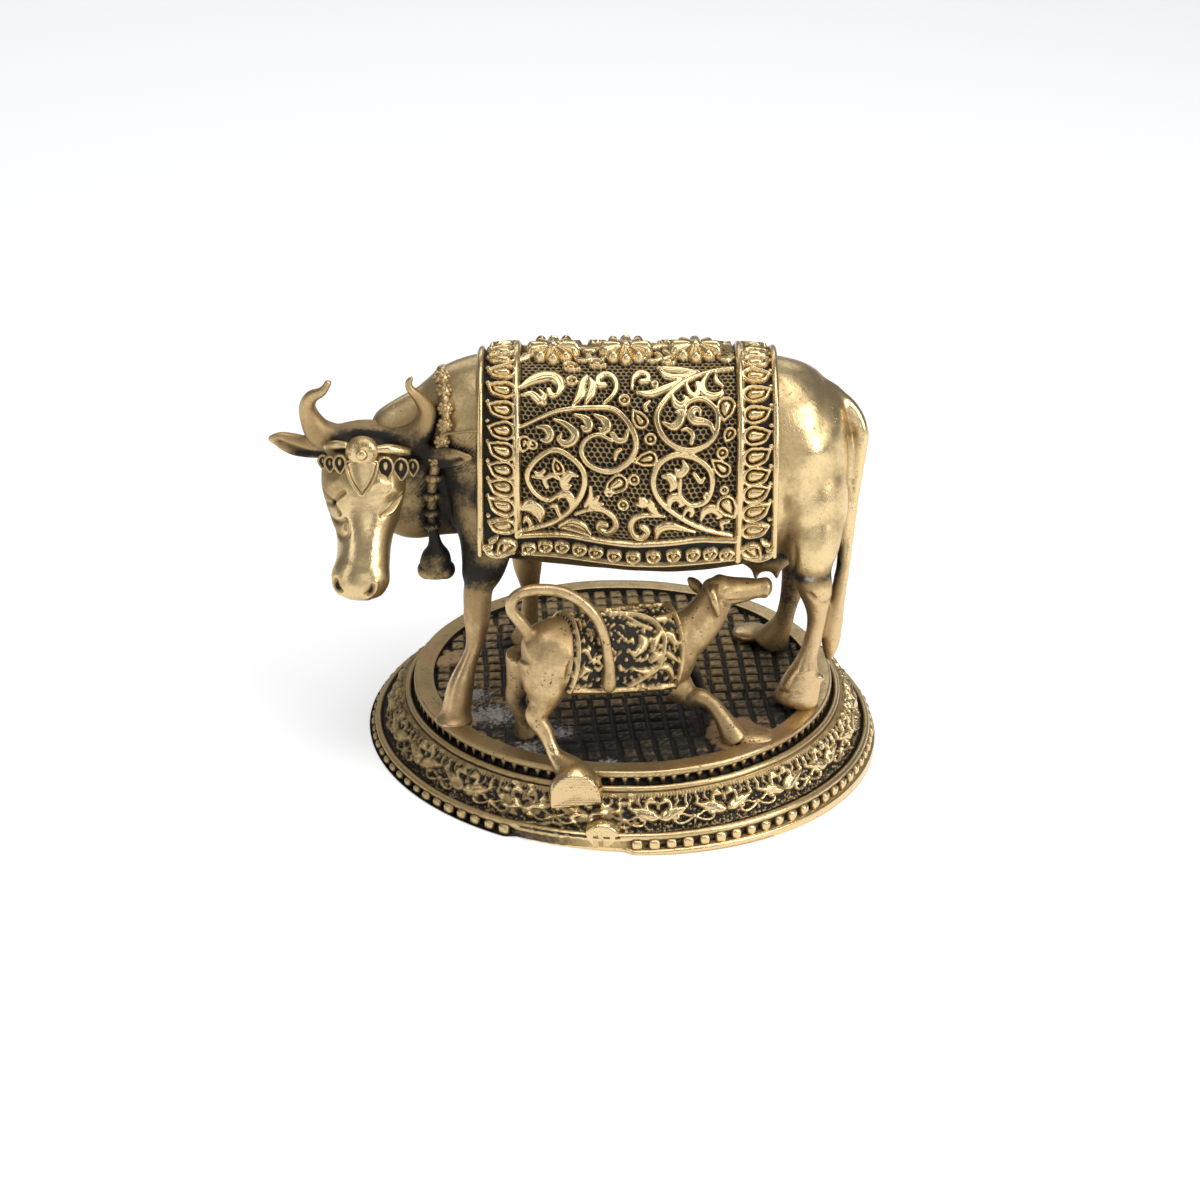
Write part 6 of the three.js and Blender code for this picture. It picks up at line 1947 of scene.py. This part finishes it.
HEAD_PATCHES_AND_PAINTED_LIGHT = [
    ((-35.5, -12.5, 51.0), (6, 5, 3.0), -0.32), ((-63.0, -8, 51.5), (4, 5, 3.0), -0.12),
    ((-48.5, -11.5, 54.0), (9.5, 4.6, 2.6), -0.62), ((-30.5, -10, 54), (6, 8, 6), -0.16),
    ((-52.3, -17, 38), (0.9, 6, 7), 0.22), ((-48.0, -17, 38), (0.9, 6, 7), 0.22),
    ((-50.2, -17, 37), (0.8, 6, 7), -0.14), ((-57.2, -12, 43.5), (1.4, 4, 6), -0.35),
    ((-54.8, -15, 38.4), (1.3, 3, 1.3), -0.5), ((-62.0, -10, 50.0), (5, 3, 1.0), -0.6),
    ((-36.0, -14, 49.4), (5, 4, 1.0), -0.6), ((-50.0, -18, 36.0), (4.5, 5, 9), 0.14),
    ((-45.4, -14, 45.8), (2.2, 3, 2.6), 0.16), ((-54.6, -22, 29.2), (0.7, 4, 0.9), -0.8),
    ((-48.4, -22, 28.9), (0.7, 4, 0.9), -0.8), ((-38.2, -9, 52.6), (3, 4, 3.5), -0.3),
    ((-49.7, -14, 50.0), (7, 4, 2.0), -0.35), ((-53.6, -15, 46.6), (2.4, 3, 2.4), -0.2),
    ((-41.8, -10, 40.0), (1.6, 5, 8), -0.25), ((-58.6, -9, 56.5), (3, 4, 3.5), 0.1),
]
ORNAMENT_TONES = [
    ((-55.5, -13, 53.6), (3, 3, 1.6), -0.3), ((-49.7, -16, 55.6), (4, 3, 0.8), -0.2),
    ((-41.4, -11, 50.5), (2, 3, 3), -0.2), ((-56.5, -13, 50.6), (2, 3, 1.5), -0.2),
]
CALF_PATCHES_AND_PAINTED_LIGHT = [
    ((-10.2, -45.2, -2.5), (7, 2.2, 5), 0.75), ((-3, -24, 8.5), (11, 8, 3.0), -0.2),
    ((-20.5, -27, 8), (3, 3, 8), -0.35), ((12, -15, 6), (5, 3, 6), -0.4),
    ((16.5, -20.6, 24), (1.2, 1.6, 2), -0.1), ((-13, -37, 15), (4, 3, 6), 0.08),
    ((-14.5, -38, 3), (3, 3, 3), 0.3), ((11, -22.5, 6.5), (1.3, 3, 1.2), -0.35),
]


# How much darker the left end of the plinth is painted: painted shade, as the light falls from the right
LEFT_PAINTED_SHADE = 0.3


def painted_shade_share(points):
    """1 at the plinth's left end and 0 on its right half"""
    return 1 - step_between(-38, 4, points[:, 0])


# Painted shade that darkens the plinth's left end
def left_painted_shade(points):
    return LEFT_PAINTED_SHADE * painted_shade_share(points)


def add_rim(material):
    rim = plinth_rim()
    points = points_of(rim)
    radius = radius_of(points)
    height = points[:, 2]
    groove = (radius < 41.4) & (height > 8) & (height < 10.6)
    deep = (radius > 46.0) & (radius < 47.4) & (height > 1.9)
    between_beads = (radius > 47.9) & (height > 0.45) & (height < 2.0)
    # Patina in the hollows, and painted shade where the rim is closed in by the other parts
    polish = patina_and_painted_shade(rim, PLINTH_PLACE, base=0.68, gain=1.1, passes=6, sky=0.4, every=4)
    polish = np.where(groove | deep, -0.1, np.where(between_beads, 0.3, polish))
    strokes = 0.25 * np.sin(np.arctan2(points[:, 1], points[:, 0]) * 420)
    # The filed front is brighter with its file strokes, and the left end is painted in shade
    polish += (0.1 + strokes) * filed_share(points) - left_painted_shade(points)
    middle, reach = FILED_SMEAR
    polish += 0.7 * np.exp(-0.7 * (((points - middle) / reach) ** 2).sum(1))
    set_layer(rim, "polish", polish)
    set_layer(rim, "copper", brazed_at(points[:, 0], points[:, 1])[0] * (height > 11))
    set_layer(rim, "dust", toned(points, RIM_CRUST))
    finish_piece(rim, PLINTH_PLACE, material, ["plinth"])


def add_frieze(settings, material):
    frieze = plinth_frieze(settings)
    points = points_of(frieze)
    out = (radius_of(points) - FRIEZE_FOOT[0]) * FRIEZE_SLOPE[1]
    height = out - (points[:, 2] - FRIEZE_FOOT[1]) * FRIEZE_SLOPE[0]
    polish = 0.42 * step_between(-0.35, 0.1, height) + 0.6 * step_between(0.3, 0.65, height)
    polish += 0.1 - np.clip(1.5 * hollows(frieze, 8), -0.2, 0.35)
    # Painted shade on the left end: its polish is lowered and its contrast flattened
    in_painted_shade = painted_shade_share(points)
    set_layer(frieze, "polish", polish * (1 - in_painted_shade) + (0.1 + 0.42 * polish) * in_painted_shade)
    finish_piece(frieze, PLINTH_PLACE, material)


def add_beads(settings, material):
    beads = bead_ring(settings)
    points = points_of(beads)
    out = radius_of(points) - BEAD_RING[0]
    # Outer faces brighter, and the left end painted in shade
    set_layer(beads, "polish", 0.2 + 0.8 * step_between(0.0, 0.85, out) - left_painted_shade(points))
    finish_piece(beads, PLINTH_PLACE, material)


def add_dentils(settings, material):
    dentils = dentil_ring(settings)
    points = points_of(dentils)
    out = radius_of(points) - LIP_DENTIL[0]
    # Outer faces brighter, and the left end painted in deeper shade
    polish = 0.25 + 0.8 * step_between(-0.2, 0.4, out) - 1.5 * left_painted_shade(points)
    set_layer(dentils, "polish", polish)
    finish_piece(dentils, PLINTH_PLACE, material)


def add_tiles(settings, material):
    tiles = platform_tiles(settings)
    # Patina in the gaps, and strong painted shade where the tiles are closed in by their gaps and by the
    # figures
    polish = patina_and_painted_shade(tiles, PLINTH_PLACE, base=0.16, gain=0.9, passes=3, sky=1.3, every=3)
    x, y, z = points_of(tiles).T
    brazed = brazed_at(x, y)[0]
    strokes = 0.1 * np.sin(9 * y + 4 * x) + 0.1 * waves(x * 0.3, y, 0.7)
    set_layer(tiles, "polish", polish + brazed * (0.5 + strokes - polish))
    set_layer(tiles, "copper", brazed)
    crust = crust_at(x, y)
    set_layer(tiles, "dust", 0.68 * crust + 0.25 * (z - PLINTH_HEIGHT + 0.5) * crust)
    finish_piece(tiles, PLINTH_PLACE, material)


def build_plinth(scene):
    settings = scene.statue_plinth
    dark = brass("rim_brass", scene.statue_finish, pit=1.0, spread_of_stain=0.5)
    add_rim(dark)
    add_frieze(settings, dark)
    add_beads(settings, dark)
    add_dentils(settings, dark)
    tiled = brass("tile_brass", scene.statue_finish, pit=0.8, spread_of_stain=0.6)
    add_tiles(settings, tiled)


def add_cow_body(settings, material):
    body = cow_body(settings)
    points = points_of(body)
    # Patina in the hollows, painted shade where the body is closed in, and the painted shade and highlights
    # of its patches
    polish = patina_and_painted_shade(body, FIGURES_PLACE, base=0.62, gain=0.8, passes=14, sky=0.75, every=5)
    set_layer(body, "polish", polish + toned(points, COW_PATCHES_AND_PAINTED_LIGHT))
    set_layer(body, "copper", 0.5 * (1 - step_between(20.0, 30.0, points[:, 2])))
    set_layer(body, "dust", toned(points, COW_DUST))
    finish_piece(body, FIGURES_PLACE, material, ["cow"])


def add_cow_head(settings, material):
    head = cow_head(settings)
    points = points_of(head)
    horns = step_between(51.0, 54.0, points[:, 2])
    ears = step_between(6.5, 8.0, np.abs(points[:, 0] + 50)) * (points[:, 2] > 47)
    horns_and_ears = np.maximum(horns, ears)
    # Patina in the hollows, painted shade where the head is closed in, and the painted shade and highlights
    # of its patches
    polish = patina_and_painted_shade(head, FIGURES_PLACE, base=0.66, gain=0.9, passes=14, sky=0.6, every=5)
    set_layer(head, "polish", polish + toned(points, HEAD_PATCHES_AND_PAINTED_LIGHT) - 0.14 * horns_and_ears)
    set_layer(head, "copper", 0.3 * horns_and_ears)
    finish_piece(head, FIGURES_PLACE, material)


def add_headdress(material):
    ornaments = headdress()
    # Patina in the hollows and painted shade where the ornaments are closed in; the plates behind the
    # shields are painted in shadow, and some patches darker
    polish = patina_and_painted_shade(ornaments, FIGURES_PLACE, base=0.62, gain=1.6, passes=4, sky=0.6, every=3)
    polish += toned(points_of(ornaments), ORNAMENT_TONES) - 0.75 * layer_of(ornaments, "shadow")
    set_layer(ornaments, "polish", polish)
    finish_piece(ornaments, FIGURES_PLACE, material)


def add_garland(material):
    beads = garland()
    # Patina in the hollows and painted shade where the beads are closed in, and the beads darker towards
    # the bottom
    low = 1 - step_between(34.0, 56.0, points_of(beads)[:, 2])
    polish = patina_and_painted_shade(beads, FIGURES_PLACE, base=0.5, gain=1.4, passes=4, sky=0.9, every=3)
    set_layer(beads, "polish", polish - 0.42 * low)
    finish_piece(beads, FIGURES_PLACE, material)


def build_cow(scene):
    skin = brass("cow_brass", scene.statue_finish, pit=0.6, spread_of_stain=0.85)
    add_cow_body(scene.statue_figures, skin)
    smooth = brass("head_brass", scene.statue_finish, pit=0.15, spread_of_stain=0.35)
    add_cow_head(scene.statue_figures, smooth)
    add_headdress(skin)
    add_garland(skin)


def build_cloth(scene):
    settings = scene.statue_cloth
    grain = settings.grain / MM
    carved = brass("cloth_brass", scene.statue_finish, pit=0.5, spread_of_stain=0.3)
    near = cloth(settings, "cloth_near", NEAR_TOP, CLOTH_FOOT, grain)
    far = cloth(settings, "cloth_far", NEAR_TOP * 0.9, -CLOTH_FOOT, grain * 1.45, True)
    for piece in (near, far):
        height = layer_of(piece, "height")
        crest = 0.80 * step_between(0.95, 1.3, height) + 0.40 * step_between(0.3, 0.72, height)
        polish = crest - 0.03 - np.clip(hollows(piece, 8), -0.15, 0.4)
        set_layer(piece, "polish", polish)
        finish_piece(piece, FIGURES_PLACE, carved)


def build_calf(scene):
    skin = brass("calf_brass", scene.statue_finish, pit=1.6, spread_of_stain=0.7)
    body = calf_body(scene.statue_figures)
    # Patina in the hollows, painted shade where the calf is closed in, and its patches: a filed bright hoof
    # and painted shade on belly and far legs
    polish = patina_and_painted_shade(body, FIGURES_PLACE, base=0.56, gain=1.0, passes=12, sky=0.6, every=4)
    set_layer(body, "polish", polish + toned(points_of(body), CALF_PATCHES_AND_PAINTED_LIGHT))
    set_layer(body, "copper", np.full(len(body.data.vertices), 0.3))
    finish_piece(body, FIGURES_PLACE, skin, ["calf"])
    blanket = calf_cloth()
    polish = 0.9 * step_between(0.12, 0.8, layer_of(blanket, "height")) - 0.08
    set_layer(blanket, "polish", polish)
    finish_piece(blanket, FIGURES_PLACE, skin)


# Stage

FLOOR_SIZE = 8.0
FLOOR_COLOUR = (0.92, 0.92, 0.92, 1)
FLOOR_GLOW = 0.35
FLOOR_GAP = 0.0002
SKY_COLOUR = (0.9, 0.93, 1.0, 1)
SKY_STRENGTH = 0.24

# Lights: name, place, target and size in metres, and power in watts
LIGHTS = [
    ("top", (0.05, -0.10, 0.75), (0, 0, 0.02), (0.7, 0.5), 2.5),
    ("right", (0.62, -0.35, 0.42), (0, 0, 0.04), (0.35, 0.55), 2.9),
    ("left", (-0.60, -0.42, 0.30), (0, 0, 0.04), (0.25, 0.60), 0.6),
    ("front", (0.10, -0.85, 0.30), (0, 0, 0.03), (0.60, 0.30), 0.65),
    ("back", (-0.1, 0.7, 0.6), (0, 0, 0.04), (0.9, 0.4), 1.2),
]


def add_camera(scene):
    deselect()
    bpy.ops.object.camera_add()
    camera = bpy.context.object
    camera.name = "camera"
    camera.data.lens = LENS
    camera.data.sensor_width = SENSOR
    camera.data.clip_start = 0.01
    back = Vector((0, -math.cos(CAMERA_HEIGHT), math.sin(CAMERA_HEIGHT))) * CAMERA_DISTANCE
    eye = PLINTH_PLACE @ (Vector(CAMERA_TARGET) + back)
    turn = Matrix.Rotation(-LEAN, 4, "Y") @ Matrix.Rotation(math.pi / 2 - CAMERA_HEIGHT, 4, "X")
    camera.matrix_world = Matrix.Translation(eye) @ turn
    scene.camera = camera


def add_light(name, place, target, size, power):
    deselect()
    bpy.ops.object.light_add(type="AREA", location=place)
    light = bpy.context.object
    light.name = name
    light.data.shape = "RECTANGLE"
    light.data.size, light.data.size_y = size
    light.data.energy = power
    aim = Vector(target) - Vector(place)
    light.rotation_euler = aim.to_track_quat("-Z", "Y").to_euler()


def build_stage(scene):
    deselect()
    bpy.ops.mesh.primitive_plane_add(size=FLOOR_SIZE)
    floor = bpy.context.object
    floor.name = "floor"
    floor.data.transform(Matrix.Translation((0, 0, -FLOOR_GAP)))
    paint = bpy.data.materials.new("floor_paint")
    paint.use_nodes = True
    shader = paint.node_tree.nodes["Principled BSDF"]
    shader.inputs["Base Color"].default_value = FLOOR_COLOUR
    shader.inputs["Roughness"].default_value = 0.9
    shader.inputs["Emission Color"].default_value = (1, 1, 1, 1)
    shader.inputs["Emission Strength"].default_value = FLOOR_GLOW
    floor.data.materials.append(paint)
    world = bpy.data.worlds.new("studio")
    world.use_nodes = True
    sky = world.node_tree.nodes["Background"]
    sky.inputs["Color"].default_value = SKY_COLOUR
    sky.inputs["Strength"].default_value = SKY_STRENGTH
    scene.world = world
    scene.view_settings.view_transform = "Standard"
    for light in LIGHTS:
        add_light(*light)
    add_camera(scene)


# Sidebar

class STATUE_OT_plinth(bpy.types.Operator):
    """Models the plinth with its beads, frieze, dentils and tiles"""
    bl_idname = "statue.plinth"
    bl_label = "Plinth"

    def execute(self, context):
        build_plinth(context.scene)
        return {"FINISHED"}


class STATUE_OT_cow(bpy.types.Operator):
    """Models the cow's body, head, ornaments and garland"""
    bl_idname = "statue.cow"
    bl_label = "Cow"

    def execute(self, context):
        build_cow(context.scene)
        return {"FINISHED"}


class STATUE_OT_cloth(bpy.types.Operator):
    """Carves the cow's saddle cloth"""
    bl_idname = "statue.cloth"
    bl_label = "Cloth"

    def execute(self, context):
        build_cloth(context.scene)
        return {"FINISHED"}


class STATUE_OT_calf(bpy.types.Operator):
    """Models the calf and its blanket"""
    bl_idname = "statue.calf"
    bl_label = "Calf"

    def execute(self, context):
        build_calf(context.scene)
        return {"FINISHED"}


class STATUE_OT_stage(bpy.types.Operator):
    """Adds the floor, the lights and the camera"""
    bl_idname = "statue.stage"
    bl_label = "Stage"

    def execute(self, context):
        build_stage(context.scene)
        return {"FINISHED"}


OPERATORS = (STATUE_OT_plinth, STATUE_OT_cow, STATUE_OT_cloth, STATUE_OT_calf, STATUE_OT_stage)
SETTINGS = {
    "statue_plinth": PlinthSettings,
    "statue_figures": FigureSettings,
    "statue_cloth": ClothSettings,
    "statue_finish": FinishSettings,
}


class STATUE_PT_sidebar(bpy.types.Panel):
    """Sizes, colours and steps of the statue"""
    bl_idname = "STATUE_PT_sidebar"
    bl_label = "Statue"
    bl_space_type = "VIEW_3D"
    bl_region_type = "UI"
    bl_category = "Statue"

    def draw(self, context):
        for group, kind in SETTINGS.items():
            box = self.layout.box()
            for size in kind.__annotations__:
                box.prop(getattr(context.scene, group), size)
        for operator in OPERATORS:
            self.layout.operator(operator.bl_idname)


def register():
    for kind in (*SETTINGS.values(), *OPERATORS, STATUE_PT_sidebar):
        bpy.utils.register_class(kind)
    for name, kind in SETTINGS.items():
        setattr(bpy.types.Scene, name, bpy.props.PointerProperty(type=kind))


def unregister():
    for name in SETTINGS:
        delattr(bpy.types.Scene, name)
    for kind in (STATUE_PT_sidebar, *reversed(OPERATORS), *SETTINGS.values()):
        bpy.utils.unregister_class(kind)


def main():
    register()
    bpy.ops.statue.plinth()
    bpy.ops.statue.cow()
    bpy.ops.statue.cloth()
    bpy.ops.statue.calf()
    bpy.ops.statue.stage()


if __name__ == "__main__":
    main()
